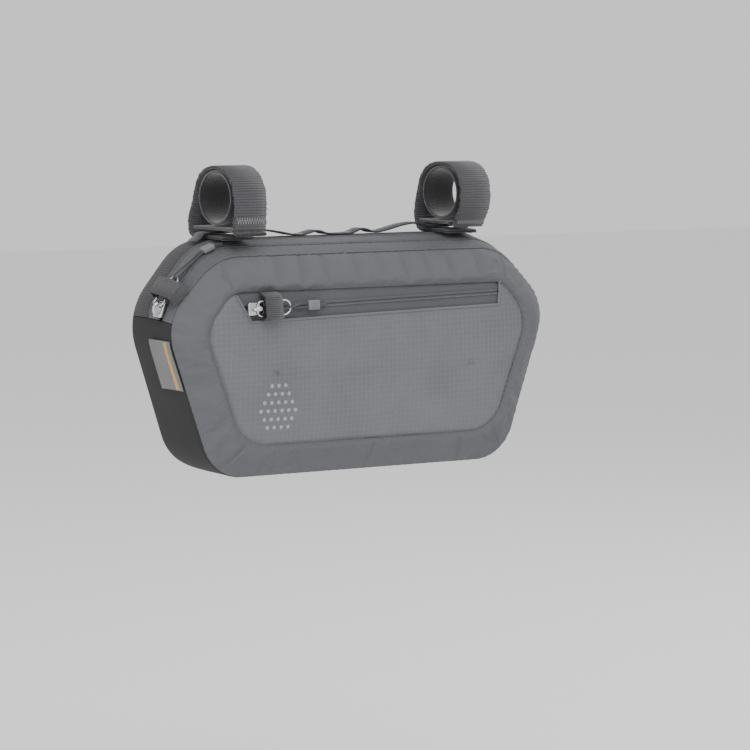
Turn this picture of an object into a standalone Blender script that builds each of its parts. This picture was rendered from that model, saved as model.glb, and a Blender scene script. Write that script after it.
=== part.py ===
"""Bicycle handlebar bag: a padded pouch hung under a handlebar by two webbing straps.

Metres, +Z up. +X runs along the handlebar, the bag's front faces -Y, and the origin is on the
handlebar's axis, midway between the straps. Every fabric panel is a thin shell that is lofted
between three sections of the bag (front seam, rim seam and back seam), so the bag is hollow.
"""

import math
from typing import NamedTuple

import bmesh
import bpy
from mathutils import Matrix, Vector
from mathutils.bvhtree import BVHTree

# Bag
BAG_WIDTH = 0.2490          # across the sides, where the bag is widest
BAG_HEIGHT = 0.1315         # from the flat top to the bottom
BAG_DROP = 0.0240           # handlebar's axis down to the top of the bag
FRONT_SEAM_Y = -0.0300      # seam between the front panel and the ring round it
RIM_SEAM_Y = -0.0200        # seam between the ring and the gusset
BACK_SEAM_Y = 0.0250        # seam between the gusset and the back panel
FRONT_CROWN = 0.0036        # how far the middle of the front panel stands proud of its seam
BACK_CROWN = 0.0022         # the same for the back panel
RING_PUFF = 0.0030          # how far the ring swells between its seams
GUSSET_PUFF = 0.0009        # how far the gusset swells between its seams
PANEL_WALL = 0.0018         # coated cloth on thin foam
TAPE_WALL = 0.0012          # zip tape
SEAM_GAP = 0.0003           # left between pieces that meet
FOLD_DEPTH = 0.0011         # deepest crease across the ring

# Zips
COIL_WIDTH = 0.0034         # closed chain of a coil zip
COIL_HEIGHT = 0.0016
POCKET_ZIP_LEFT_Z = -0.0603     # height of the pocket zip's chain at the bag's left end
POCKET_ZIP_RIGHT_Z = -0.0568    # and at its right end
POCKET_TAPE_HEIGHT = 0.0158     # tape from the front seam down to the panel below it
POCKET_TAPE_BELOW = 0.0073      # its part below the chain
POCKET_ZIP_LEFT_X = -0.0845     # left end of the pocket's chain
POCKET_ZIP_RIGHT_X = 0.0872     # right end of the pocket's chain
MAIN_CHAIN_SHARE = 0.27         # place of the main zip's chain across the gusset
MAIN_TAPE_SHARE = 0.56          # the main zip's tapes end here across the gusset

# Zip pulls
SLIDER_LENGTH = 0.0096
SLIDER_WIDTH = 0.0078
SLIDER_THICK = 0.0024
BRIDGE_ROOM = 0.0016            # spare height for the wire under the slider's bridge
POCKET_PULL_LENGTH = 0.0215     # wire loop, from the slider's bridge to its free end
MAIN_PULL_LENGTH = 0.0195
PULL_LOOP_WIDTH = 0.0080
PULL_WIRE = 0.0011
PULL_CORD = 0.0012
POCKET_CORD_REACH = 0.0125      # from the wire loop to the grip block
MAIN_CORD_REACH = 0.0180
GRIP_LENGTH = 0.0072
GRIP_WIDTH = 0.0054
GRIP_THICK = 0.0030
GRIP_TAIL = 0.0050
GARAGE_WIDTH = 0.0112           # webbing tab over each slider
GARAGE_THICK = 0.0011
GARAGE_RISE = 0.0052            # its height over the zip tape, to the underside
SLIDER_TO_GARAGE = 0.0098       # slider's middle to the tab's middle

# Side label
LABEL_WIDTH = 0.0210
LABEL_HEIGHT = 0.0290
LABEL_THICK = 0.0006
LABEL_BELOW_ZIP = 0.0100

# Handlebar straps
BAR_DIAMETER = 0.0264           # handlebar that the straps close round
BAR_CLEARANCE = 0.0002
STRAP_SPACING = 0.1510          # between the middles of the two straps
STRAP_WIDTH = 0.0204
STRAP_THICK = 0.0019
STRAP_REACH = 0.0232            # handlebar's axis to the middle of the strap, in front and behind
LINER_THICK = 0.0022
LINER_REACH = 0.0171            # half the liner's depth, to its middle
LINER_OFFSET = -0.0020          # the liner sits this far in front of the bar's axis
TONGUE_THICK = 0.0022           # fuzzy tongue under the bar
TONGUE_SHARE = 0.97              # its reach against the strap's
LAYER_GAP = 0.0004
DAISY_WIDTH = 0.0100            # thin webbing strip along the top, which holds the straps down
DAISY_THICK = 0.0010
DAISY_Y = 0.0100
DAISY_END_X = 0.0930

HALF_WIDTH = BAG_WIDTH / 2
HALF_STRAP_SPACING = STRAP_SPACING / 2
BAG_TOP_Z = -BAG_DROP
POCKET_SPAN = POCKET_ZIP_RIGHT_X - POCKET_ZIP_LEFT_X
COIL_SEAT = COIL_HEIGHT - TAPE_WALL + SEAM_GAP      # what lies on a chain is this far over the tape


class Section(NamedTuple):
    """Corners and rounding of half a section; x in shares of half the width, z of the height."""

    y: float
    corner_x: float
    top: float
    side_x: float
    side: float
    foot_x: float
    bottom: float
    corner_round: float
    side_round: float
    foot_round: float


FRONT = Section(FRONT_SEAM_Y, 0.731, 0.206, 0.867, 0.366, 0.675, 0.858, 0.121, 0.160, 0.182)
RIM = Section(RIM_SEAM_Y, 0.761, 0.059, 1.0345, 0.322, 0.789, 0.999, 0.266, 0.220, 0.205)
BACK = Section(BACK_SEAM_Y, 0.763, 0.000, 1.0300, 0.310, 0.800, 0.985, 0.250, 0.270, 0.212)


class BandRow(NamedTuple):
    """One line along a band of cloth: its share across, its swell and which way it faces."""

    share: float
    swell: float
    lean: float     # degrees from facing forwards, through outwards at 90, to backwards at 180


RING_ROWS = (
    BandRow(0.00, 0.00, 15.0),
    BandRow(0.05, 0.55, 22.0),
    BandRow(0.13, 0.92, 26.0),
    BandRow(0.32, 1.00, 27.0),
    BandRow(0.60, 0.80, 33.0),
    BandRow(0.83, 0.40, 46.0),
    BandRow(1.00, 0.00, 58.0),
)
GUSSET_ROWS = (
    BandRow(0.00, 0.00, 58.0),
    BandRow(0.12, 0.40, 73.0),
    BandRow(0.27, 0.75, 82.0),
    BandRow(0.42, 0.95, 87.0),
    BandRow(0.56, 1.00, 90.0),
    BandRow(0.78, 0.80, 92.0),
    BandRow(0.93, 0.30, 108.0),
    BandRow(1.00, 0.00, 135.0),
)
TOP_EASE = 2.7      # the gusset's top rises quickly behind the rim seam and then flattens


class Fold(NamedTuple):
    """A crease across the ring: place round the bag, half-width and depth in shares."""

    place: float    # share of half the rim's girth from the top's middle, + to the right
    width: float
    depth: float


TOP_FOLDS = (
    Fold(-0.180, 0.010, 0.75),
    Fold(-0.131, 0.009, 0.90),
    Fold(-0.087, 0.010, 1.00),
    Fold(-0.022, 0.010, 0.85),
    Fold(0.028, 0.009, 0.60),
    Fold(0.078, 0.008, 0.70),
    Fold(0.123, 0.009, 0.55),
    Fold(0.170, 0.009, 0.90),
    Fold(0.226, 0.010, 0.85),
)
SIDE_FOLDS = (
    Fold(-0.395, 0.014, 0.60),
    Fold(-0.545, 0.018, 0.70),
    Fold(-0.640, 0.016, 0.95),
    Fold(0.355, 0.012, 0.60),
    Fold(0.470, 0.016, 0.50),
    Fold(0.610, 0.018, 0.70),
)
BOTTOM_FOLDS = (
    Fold(0.795, 0.012, 0.60),
    Fold(0.900, 0.016, 0.45),
    Fold(-0.860, 0.016, 0.45),
)

# Rows round half the bag for each leg of a section: top, corner, shoulder, side, flank, foot, base
PANEL_STEPS = (4, 5, 2, 5, 4, 5, 4)
RING_STEPS = (17, 5, 2, 6, 7, 5, 6)

MATERIALS = {
    "ripstop_grey": ((0.115, 0.120, 0.130, 1.0), 0.55, 0.0),
    "coated_grey": ((0.100, 0.104, 0.114, 1.0), 0.45, 0.0),
    "black_cloth": ((0.018, 0.018, 0.020, 1.0), 0.85, 0.0),
    "zip_tape": ((0.070, 0.070, 0.076, 1.0), 0.80, 0.0),
    "webbing": ((0.045, 0.045, 0.050, 1.0), 0.80, 0.0),
    "loop_pile": ((0.012, 0.012, 0.014, 1.0), 0.95, 0.0),
    "rubber": ((0.060, 0.062, 0.066, 1.0), 0.60, 0.0),
    "metal": ((0.600, 0.600, 0.610, 1.0), 0.22, 1.0),
    "label": ((0.060, 0.058, 0.062, 1.0), 0.65, 0.0),
}


def clear_scene():
    """Remove whatever the open file holds."""
    for item in list(bpy.data.objects):
        bpy.data.objects.remove(item, do_unlink=True)


def make_collection(name):
    """Make a collection under the scene and return it."""
    group = bpy.data.collections.new(name)
    bpy.context.scene.collection.children.link(group)
    return group


def make_material(name):
    """Make one plain surface from the table of materials."""
    color, roughness, metallic = MATERIALS[name]
    material = bpy.data.materials.new(name)
    material.use_nodes = True
    surface = material.node_tree.nodes["Principled BSDF"]
    surface.inputs["Base Color"].default_value = color
    surface.inputs["Roughness"].default_value = roughness
    surface.inputs["Metallic"].default_value = metallic
    return material


clear_scene()
PARTS = make_collection("handlebar_bag")
CUTTERS = make_collection("cutters")
PAINTS = {name: make_material(name) for name in MATERIALS}


def add_object(name, data, paint=None, group=None):
    """Put a mesh or curve in the scene, with its material."""
    item = bpy.data.objects.new(name, data)
    (group or PARTS).objects.link(item)
    if paint:
        data.materials.append(PAINTS[paint])
    if group is CUTTERS:
        item.hide_render = True
        item.display_type = "WIRE"
    return item


def finish_mesh(name, shape, paint, group=None, smooth_angle=35.0):
    """Turn a closed bmesh outwards and make it an object."""
    bmesh.ops.remove_doubles(shape, verts=shape.verts, dist=1e-7)
    bmesh.ops.recalc_face_normals(shape, faces=shape.faces)
    mesh = bpy.data.meshes.new(name)
    shape.to_mesh(mesh)
    shape.free()
    mesh.shade_smooth()
    mesh.set_sharp_from_angle(angle=math.radians(smooth_angle))
    return add_object(name, mesh, paint, group)


# Sections of the bag
class Leg(NamedTuple):
    """A straight or round stretch of an outline, in x and z."""

    start: Vector
    end: Vector
    centre: Vector | None
    turn: float

    def length(self):
        """Length of the stretch."""
        if self.centre is None:
            return (self.end - self.start).length
        return (self.start - self.centre).length * self.turn

    def spot(self, share):
        """Point and outward direction at a share of the stretch."""
        if self.centre is None:
            along = (self.end - self.start).normalized()
            return self.start.lerp(self.end, share), Vector((-along.y, along.x))
        arm = Matrix.Rotation(-self.turn * share, 2) @ (self.start - self.centre)
        return self.centre + arm, arm.normalized()


def half_legs(section):
    """The seven stretches of the +X half of a section, from its top's middle to its base's."""
    top = BAG_TOP_Z - section.top * BAG_HEIGHT
    side = BAG_TOP_Z - section.side * BAG_HEIGHT
    bottom = BAG_TOP_Z - section.bottom * BAG_HEIGHT
    corners = [
        Vector((0.0, top)),
        Vector((section.corner_x * HALF_WIDTH, top)),
        Vector((section.side_x * HALF_WIDTH, side)),
        Vector((section.foot_x * HALF_WIDTH, bottom)),
        Vector((0.0, bottom)),
    ]
    rounds = [section.corner_round, section.side_round, section.foot_round]
    legs = []
    start = corners[0]
    for index, rounding in enumerate(rounds, start=1):
        corner = corners[index]
        before = (corners[index - 1] - corner).normalized()
        after = (corners[index + 1] - corner).normalized()
        half_turn = (math.pi - before.angle(after)) / 2
        radius = rounding * BAG_HEIGHT
        reach = radius * math.tan(half_turn)
        centre = corner + (before + after).normalized() * radius / math.cos(half_turn)
        legs.append(Leg(start, corner + before * reach, None, 0.0))
        legs.append(Leg(corner + before * reach, corner + after * reach, centre, 2 * half_turn))
        start = corner + after * reach
    legs.append(Leg(start, corners[-1], None, 0.0))
    return legs


LEGS = {section: half_legs(section) for section in (FRONT, RIM, BACK)}
HALF_GIRTH = sum(leg.length() for leg in LEGS[RIM])


def girth_knots():
    """Shares of half the rim's girth where its stretches begin and end."""
    knots = [0.0]
    for leg in LEGS[RIM]:
        knots.append(knots[-1] + leg.length() / HALF_GIRTH)
    knots[-1] = 1.0
    return knots


KNOTS = girth_knots()
CORNER_SEAM = (KNOTS[1] + KNOTS[2]) / 2     # seams across the ring at its upper corners
FOOT_SEAM = (KNOTS[5] + KNOTS[6]) / 2       # and at its lower corners
ZIP_END = (KNOTS[3] + KNOTS[4]) / 2         # the main zip ends at the widest place
FULL_TURN = 2.0


def outline(section, place):
    """Point and outward direction at a share of half the girth; negative is the -X half."""
    if place > 1.0:
        place -= FULL_TURN
    size = min(abs(place), 1.0)
    index = max(i for i in range(7) if KNOTS[i] <= size)
    share = (size - KNOTS[index]) / (KNOTS[index + 1] - KNOTS[index])
    point, facing = LEGS[section][index].spot(share)
    side = -1.0 if place < 0 else 1.0
    return Vector((side * point.x, point.y)), Vector((side * facing.x, facing.y))


def row_at(rows, share):
    """The band row at any share across, between the rows of its table."""
    for low, high in zip(rows, rows[1:]):
        if share <= high.share:
            part = (share - low.share) / (high.share - low.share)
            values = (a + (b - a) * part for a, b in zip(low, high))
            return BandRow(*values)
    return rows[-1]


def fold_depth(place, share):
    """How far the ring's creases push it in, none of it at the seams."""
    fade = math.sin(math.pi * min(max(share, 0.0), 1.0)) ** 0.5
    depth = 0.0
    for fold in TOP_FOLDS + SIDE_FOLDS + BOTTOM_FOLDS:
        depth += fold.depth * math.exp(-(((place - fold.place) / fold.width) ** 2))
    return depth * fade * FOLD_DEPTH


def band_spot(ends, rows, swell, share, place, ease=1.0):
    """Outer point and facing of a band that is lofted between two sections."""
    row = row_at(rows, share)
    first, first_facing = outline(ends[0], place)
    last, last_facing = outline(ends[1], place)
    mix = 1.0 - (1.0 - share) ** ease
    flat = first.lerp(last, mix)
    facing = first_facing.lerp(last_facing, mix).normalized()
    lean = math.radians(row.lean)
    outward = Vector((facing.x * math.sin(lean), -math.cos(lean), facing.y * math.sin(lean)))
    depth = ends[0].y + (ends[1].y - ends[0].y) * share
    return Vector((flat.x, depth, flat.y)) + outward * row.swell * swell, outward


def ring_spot(share, place):
    """Outer point and facing on the ring round the front panel."""
    point, outward = band_spot((FRONT, RIM), RING_ROWS, RING_PUFF, share, place)
    wrapped = place - FULL_TURN if place > 1.0 else place
    return point - outward * fold_depth(wrapped, share), outward


def gusset_spot(share, place):
    """Outer point and facing on the gusset, from the rim seam to the back seam."""
    return band_spot((RIM, BACK), GUSSET_ROWS, GUSSET_PUFF, share, place, TOP_EASE)


def places_between(start, end, steps):
    """Places round the bag from start to end, with the section's own corners kept."""
    marks = []
    for index, count in enumerate(steps):
        span = KNOTS[index + 1] - KNOTS[index]
        marks += [KNOTS[index] + span * step / count for step in range(count)]
    marks.append(1.0)
    loop = marks + [-mark for mark in marks] + [FULL_TURN - mark for mark in marks]
    least = 0.25 / sum(steps)
    inside = [mark for mark in sorted(set(loop)) if start + least < mark < end - least]
    kept = [mark for mark, after in zip(inside, inside[1:] + [end]) if after - mark > 1e-6]
    return [start] + kept + [end]


def shell(name, spot, shares, places, wall, paint, lift=0.0):
    """A curved panel with its wall, pulled back from its neighbours by half a seam gap."""
    outer = []
    inner = []
    for share in shares:
        spots = [spot(share, place) for place in places]
        outer.append([point + facing * lift for point, facing in spots])
        inner.append([point + facing * (lift - wall) for point, facing in spots])
    for grid in (outer, inner):
        pull_back(grid)
        pull_back_columns(grid)
    shape = bmesh.new()
    rows = len(shares)
    columns = len(places)
    outer_verts = [[shape.verts.new(point) for point in row] for row in outer]
    inner_verts = [[shape.verts.new(point) for point in row] for row in inner]
    for r in range(rows - 1):
        for c in range(columns - 1):
            for verts in (outer_verts, inner_verts):
                corners = (verts[r][c], verts[r][c + 1], verts[r + 1][c + 1], verts[r + 1][c])
                shape.faces.new(corners)
    for c in range(columns - 1):
        for r in (0, rows - 1):
            edge = (outer_verts[r][c], outer_verts[r][c + 1], inner_verts[r][c + 1], inner_verts[r][c])
            shape.faces.new(edge)
    for r in range(rows - 1):
        for c in (0, columns - 1):
            edge = (outer_verts[r][c], outer_verts[r + 1][c], inner_verts[r + 1][c], inner_verts[r][c])
            shape.faces.new(edge)
    return finish_mesh(name, shape, paint)


def pull_back(grid):
    """Move a grid's first and last rows inwards by half a seam gap."""
    for edge, inside in ((0, 1), (-1, -2)):
        for column in range(len(grid[0])):
            step = (grid[inside][column] - grid[edge][column]).normalized() * SEAM_GAP / 2
            grid[edge][column] = grid[edge][column] + step


def pull_back_columns(grid):
    """Move a grid's first and last columns inwards by half a seam gap."""
    for row in grid:
        row[0] = row[0] + (row[1] - row[0]).normalized() * SEAM_GAP / 2
        row[-1] = row[-1] + (row[-2] - row[-1]).normalized() * SEAM_GAP / 2


# Front and back panels
SPINE_SHARE = 0.62      # the panel shrinks towards a level line this share of its width long
SPINE_HEIGHT = 0.56     # and this share of the bag's height below its top
PANEL_RINGS = (1.0, 0.95, 0.84, 0.62, 0.30)
CROWN_POWER = 3.0
PANEL_LEAN = 15.0
BACK_LEAN = 45.0                # the same at the back panel


def panel_ring(section, ring, places, direction, crown, wall, gap):
    """One loop of a crowned panel: outer and inner points, for a share from its middle."""
    spine_z = BAG_TOP_Z - SPINE_HEIGHT * BAG_HEIGHT
    lean = math.radians(PANEL_LEAN if direction < 0 else BACK_LEAN) * ring ** 8
    outer = []
    inner = []
    for place in places:
        edge, facing = outline(section, place)
        trimmed = edge - facing * gap / 2
        spine = Vector((trimmed.x * SPINE_SHARE, spine_z))
        flat = spine.lerp(trimmed, ring)
        depth = section.y + direction * crown * (1.0 - ring ** CROWN_POWER)
        point = Vector((flat.x, depth, flat.y))
        side = math.sin(lean)
        outward = Vector((facing.x * side, direction * math.cos(lean), facing.y * side))
        outer.append(point)
        inner.append(point - outward * wall)
    return outer, inner


def panel(name, section, direction, crown, paint):
    """A crowned panel that fills a section, as a thin closed shell."""
    places = places_between(-1.0, 1.0, PANEL_STEPS)[:-1]
    shape = bmesh.new()
    skins = ([], [])
    for ring in PANEL_RINGS:
        for skin, loop in zip(skins, panel_ring(
                section, ring, places, direction, crown, PANEL_WALL, SEAM_GAP)):
            skin.append([shape.verts.new(point) for point in loop])
    count = len(places)
    for skin in skins:
        for low, high in zip(skin, skin[1:]):
            for c in range(count):
                n = (c + 1) % count
                shape.faces.new((low[c], low[n], high[n], high[c]))
        shape.faces.new(skin[-1])
    for c in range(count):
        n = (c + 1) % count
        shape.faces.new((skins[0][0][c], skins[0][0][n], skins[1][0][n], skins[1][0][c]))
    return finish_mesh(name, shape, paint)


def prism(name, corners, depth_from, depth_to):
    """A flat outline in x and z, made solid between two depths."""
    shape = bmesh.new()
    near = [shape.verts.new((x, depth_from, z)) for x, z in corners]
    far = [shape.verts.new((x, depth_to, z)) for x, z in corners]
    shape.faces.new(near)
    shape.faces.new(far)
    for index in range(len(corners)):
        other = (index + 1) % len(corners)
        shape.faces.new((near[index], near[other], far[other], far[index]))
    return finish_mesh(name, shape, None, CUTTERS)


def cut(item, cutter, operation):
    """Apply a Boolean and keep the result as the object's own mesh."""
    modifier = item.modifiers.new(operation.lower(), "BOOLEAN")
    modifier.operation = operation
    modifier.object = cutter
    modifier.solver = "EXACT"
    bpy.context.view_layer.update()
    evaluated = item.evaluated_get(bpy.context.evaluated_depsgraph_get())
    mesh = bpy.data.meshes.new_from_object(evaluated)
    item.modifiers.clear()
    item.data = mesh
    return item


def chain_height(x):
    """Height of the pocket zip's chain at x."""
    share = (x - POCKET_ZIP_LEFT_X) / POCKET_SPAN
    return POCKET_ZIP_LEFT_Z + (POCKET_ZIP_RIGHT_Z - POCKET_ZIP_LEFT_Z) * share


def tape_window(above, below, trim):
    """Corners of a strip of the pocket's zip tape, its ends slanting in towards the bottom."""
    left = POCKET_ZIP_LEFT_X
    right = POCKET_ZIP_RIGHT_X
    slant = POCKET_TAPE_HEIGHT * 0.55
    corners = []
    for x, lean in ((left, -slant), (right, slant * 0.35)):
        level = chain_height(x)
        inward = trim if x < 0 else -trim
        for rise in (above, -below):
            corners.append((x + lean * rise / POCKET_TAPE_HEIGHT + inward, level + rise))
    return [corners[1], corners[0], corners[2], corners[3]]


def build_front():
    """Front panel with the pocket zip let into its upper edge."""
    deep = FRONT_SEAM_Y + 2 * PANEL_WALL
    proud = FRONT_SEAM_Y - 4 * FRONT_CROWN
    below = POCKET_TAPE_BELOW
    beyond = 2 * POCKET_TAPE_HEIGHT
    half_gap = SEAM_GAP / 2
    half_coil = COIL_WIDTH / 2 + half_gap
    front = panel("front_panel", FRONT, -1.0, FRONT_CROWN, "ripstop_grey")
    blank = front.data.copy()
    window = prism("pocket_window", tape_window(beyond, below, -half_gap), deep, proud)
    cut(front, window, "DIFFERENCE")
    strips = (
        ("pocket_tape_upper", tape_window(beyond, -half_coil, half_gap)),
        ("pocket_tape_lower", tape_window(-half_coil, below - SEAM_GAP, half_gap)),
    )
    for name, corners in strips:
        strip = add_object(name, blank.copy())
        strip.data.materials.clear()
        strip.data.materials.append(PAINTS["zip_tape"])
        cut(strip, prism(name + "_cutter", corners, deep, proud), "INTERSECT")
    return blank


def build_ring():
    """The four padded pieces of the ring, seamed at the corners."""
    shares = [row.share for row in RING_ROWS]
    spans = {
        "ring_top": (-CORNER_SEAM, CORNER_SEAM),
        "ring_right": (CORNER_SEAM, FOOT_SEAM),
        "ring_bottom": (FOOT_SEAM, FULL_TURN - FOOT_SEAM),
        "ring_left": (-FOOT_SEAM, -CORNER_SEAM),
    }
    for name, (start, end) in spans.items():
        places = places_between(start, end, RING_STEPS)
        shell(name, ring_spot, shares, places, PANEL_WALL, "coated_grey")


def coil_shares():
    """Where the main zip's chain begins and ends across the gusset."""
    half = COIL_WIDTH / 2 / (BACK_SEAM_Y - RIM_SEAM_Y)
    return MAIN_CHAIN_SHARE - half, MAIN_CHAIN_SHARE + half


def build_gusset():
    """The gusset: two zip tapes and their chain above, a rear band, and a plain lower part."""
    near, far = coil_shares()
    top_places = places_between(-ZIP_END, ZIP_END, PANEL_STEPS)
    low_places = places_between(ZIP_END, FULL_TURN - ZIP_END, PANEL_STEPS)
    shell("main_tape_front", gusset_spot, (0.0, near / 2, near), top_places, TAPE_WALL, "zip_tape")
    middle = (far + MAIN_TAPE_SHARE) / 2
    rear = (far, middle, MAIN_TAPE_SHARE)
    shell("main_tape_rear", gusset_spot, rear, top_places, TAPE_WALL, "zip_tape")
    chain = (near, MAIN_CHAIN_SHARE, far)
    shell("main_zip_chain", gusset_spot, chain, top_places, COIL_HEIGHT, "zip_tape",
          COIL_HEIGHT - TAPE_WALL)
    band = (MAIN_TAPE_SHARE, 0.78, 0.93, 1.0)
    shell("gusset_upper", gusset_spot, band, top_places, PANEL_WALL, "black_cloth")
    whole = [row.share for row in GUSSET_ROWS]
    shell("gusset_lower", gusset_spot, whole, low_places, PANEL_WALL, "black_cloth")


def build_back():
    """The plain back panel."""
    panel("back_panel", BACK, 1.0, BACK_CROWN, "black_cloth")


# Pieces that lie on the bag
class Bench(NamedTuple):
    """A place to seat small pieces: where (along, across, above) lands in the world."""

    spot: object

    def point(self, along, across, above):
        """World point for local distances."""
        return self.spot(along, across, above)

    def frame(self, along, across, above):
        """World matrix whose axes run along, across and out of the bag there."""
        step = 1e-4
        origin = self.point(along, across, above)
        forward = (self.point(along + step, across, above) - origin).normalized()
        outward = (self.point(along, across, above + step) - origin).normalized()
        sideways = outward.cross(forward).normalized()
        outward = forward.cross(sideways)
        turned = Matrix((forward, sideways, outward)).transposed()
        return Matrix.Translation(origin) @ turned.to_4x4()


def pocket_bench(panel_mesh):
    """Bench on the front panel: along the pocket's chain from its left end."""
    shape = bmesh.new()
    shape.from_mesh(panel_mesh)
    tree = BVHTree.FromBMesh(shape)
    shape.free()

    def spot(along, across, above):
        x = POCKET_ZIP_LEFT_X + along
        z = chain_height(x) + across
        start = Vector((x, FRONT_SEAM_Y - 10 * FRONT_CROWN, z))
        hit = tree.ray_cast(start, Vector((0.0, 1.0, 0.0)))[0]
        return Vector((x, hit.y - above, z))

    return Bench(spot)


def main_bench():
    """Bench on the main zip: up from its end on the -X side, across towards the back."""
    span = BACK_SEAM_Y - RIM_SEAM_Y

    def spot(along, across, above):
        place = -ZIP_END + along / HALF_GIRTH
        share = min(max(MAIN_CHAIN_SHARE + across / span, 0.0), 1.0)
        point, outward = gusset_spot(share, place)
        return point + outward * above

    return Bench(spot)


def box_on(name, bench, spot, size, paint, rounding):
    """A rounded block seated on a bench, its base at the spot's height."""
    along, across, above = spot
    shape = bmesh.new()
    bmesh.ops.create_cube(shape, size=1.0)
    bmesh.ops.scale(shape, vec=size, verts=shape.verts)
    bmesh.ops.bevel(shape, geom=shape.edges[:], offset=rounding, segments=2, affect="EDGES",
                    profile=0.5)
    bmesh.ops.transform(shape, matrix=bench.frame(along, across, above + size[2] / 2),
                        verts=shape.verts)
    return finish_mesh(name, shape, paint)


def smooth_route(points, steps):
    """Points on a smooth curve through the given ones."""
    route = []
    padded = [2 * points[0] - points[1]] + list(points) + [2 * points[-1] - points[-2]]
    for a, b, c, d in zip(padded, padded[1:], padded[2:], padded[3:]):
        for step in range(steps):
            t = step / steps
            bend = (-t + 2 * t * t - t ** 3) * a + (2 - 5 * t * t + 3 * t ** 3) * b
            bend += (t + 4 * t * t - 3 * t ** 3) * c + (-t * t + t ** 3) * d
            route.append(bend / 2)
    route.append(points[-1])
    return route


def tube(name, points, diameter, paint, closed=False):
    """A round wire or cord through the given points."""
    curve = bpy.data.curves.new(name, "CURVE")
    curve.dimensions = "3D"
    curve.bevel_depth = diameter / 2
    curve.bevel_resolution = 1
    curve.use_fill_caps = not closed
    spline = curve.splines.new("POLY")
    spline.points.add(len(points) - 1)
    for knot, point in zip(spline.points, points):
        knot.co = (*point, 1.0)
    spline.use_cyclic_u = closed
    return add_object(name, curve, paint)


def as_mesh(item):
    """Replace a curve object by a welded mesh object of the same name."""
    bpy.context.view_layer.update()
    evaluated = item.evaluated_get(bpy.context.evaluated_depsgraph_get())
    mesh = bpy.data.meshes.new_from_object(evaluated)
    shape = bmesh.new()
    shape.from_mesh(mesh)
    bmesh.ops.remove_doubles(shape, verts=shape.verts, dist=1e-6)
    bmesh.ops.recalc_face_normals(shape, faces=shape.faces)
    shape.to_mesh(mesh)
    shape.free()
    name = item.name
    curve = item.data
    bpy.data.objects.remove(item, do_unlink=True)
    bpy.data.curves.remove(curve)
    return add_object(name, mesh)


def slider_on(name, bench, along):
    """A zip slider: a flat body with an arched bridge over it."""
    seat = COIL_SEAT
    size = (SLIDER_LENGTH, SLIDER_WIDTH, SLIDER_THICK)
    body = box_on(name, bench, (along, 0.0, seat), size, "metal", SLIDER_THICK * 0.3)
    bridge_length = SLIDER_LENGTH * 0.62
    bar = PULL_WIRE * 1.3
    crown = seat + SLIDER_THICK + PULL_WIRE + BRIDGE_ROOM + bar / 2
    foot = seat + SLIDER_THICK * 0.5
    steps = 8
    arch = []
    for step in range(steps + 1):
        angle = math.pi * step / steps
        x = along - math.cos(angle) * bridge_length / 2
        lift = foot + (crown - foot) * math.sin(angle) ** 0.6
        arch.append(bench.point(x, 0.0, lift))
    bridge = as_mesh(tube(name + "_bridge", arch, bar, "metal"))
    cut(body, bridge, "UNION")
    bpy.data.objects.remove(bridge, do_unlink=True)


def wire_height():
    """Height of the pull's wire over the tape, under the slider's bridge."""
    return COIL_SEAT + SLIDER_THICK + SEAM_GAP + PULL_WIRE / 2


def wire_plane(bench, start, end):
    """A flat plane for the stiff wire loop: along, across and above it, in world points."""
    height = wire_height()
    nose = start + SLIDER_LENGTH / 2
    origin = bench.point(nose, 0.0, height)
    forward = (bench.point(end, 0.0, height) - origin).normalized()
    sideways = bench.frame(start, 0.0, 0.0).col[1].to_3d()
    outward = forward.cross(sideways).normalized()

    def spot(along, across, above):
        return origin + forward * (along - nose) + sideways * across + outward * above

    return spot


def pull_on(prefix, bench, start, loop_length, cord_reach):
    """Wire loop, cord, grip block and tail that hang from a slider."""
    radius = PULL_LOOP_WIDTH / 2
    end = start + loop_length
    plane = wire_plane(bench, start, end)
    wire = []
    steps = 6
    narrow = 0.5
    for middle, turn, stretch in (
            (end - radius, -math.pi / 2, 1.0), (start + radius * narrow, math.pi / 2, narrow)):
        for step in range(steps + 1):
            angle = turn + math.pi * step / steps
            x = middle + math.cos(angle) * radius * stretch
            wire.append(plane(x, math.sin(angle) * radius, 0.0))
    tube(prefix + "_pull_loop", wire, PULL_WIRE, "metal", closed=True)

    bend = (PULL_WIRE + PULL_CORD) / 2 + SEAM_GAP
    grip = end + cord_reach
    strand = PULL_CORD * 0.5 + SEAM_GAP
    level = COIL_SEAT + GRIP_THICK / 2
    route = [
        bench.point(grip - SEAM_GAP, strand, level),
        bench.point(end + cord_reach * 0.55, strand, level),
        plane(end + bend, strand * 0.4, bend * 0.9),
        plane(end, 0.0, bend),
        plane(end - bend, 0.0, 0.0),
        plane(end, 0.0, -bend),
        plane(end + bend, -strand * 0.4, -bend * 0.9),
        bench.point(end + cord_reach * 0.55, -strand, level * 0.8),
        bench.point(grip - SEAM_GAP, -strand, level),
    ]
    tube(prefix + "_pull_cord", smooth_route(route, 3), PULL_CORD, "webbing")

    size = (GRIP_LENGTH, GRIP_WIDTH, GRIP_THICK)
    middle = grip + GRIP_LENGTH / 2
    box_on(prefix + "_grip", bench, (middle, 0.0, COIL_SEAT), size, "rubber", GRIP_THICK * 0.22)
    tail_start = grip + GRIP_LENGTH + SEAM_GAP
    tail = [
        bench.point(tail_start, 0.0, level),
        bench.point(tail_start + GRIP_TAIL * 0.5, 0.0, level * 0.9),
        bench.point(tail_start + GRIP_TAIL, 0.0, level * 0.8),
    ]
    tube(prefix + "_pull_tail", tail, PULL_CORD * 1.2, "webbing")


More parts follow.
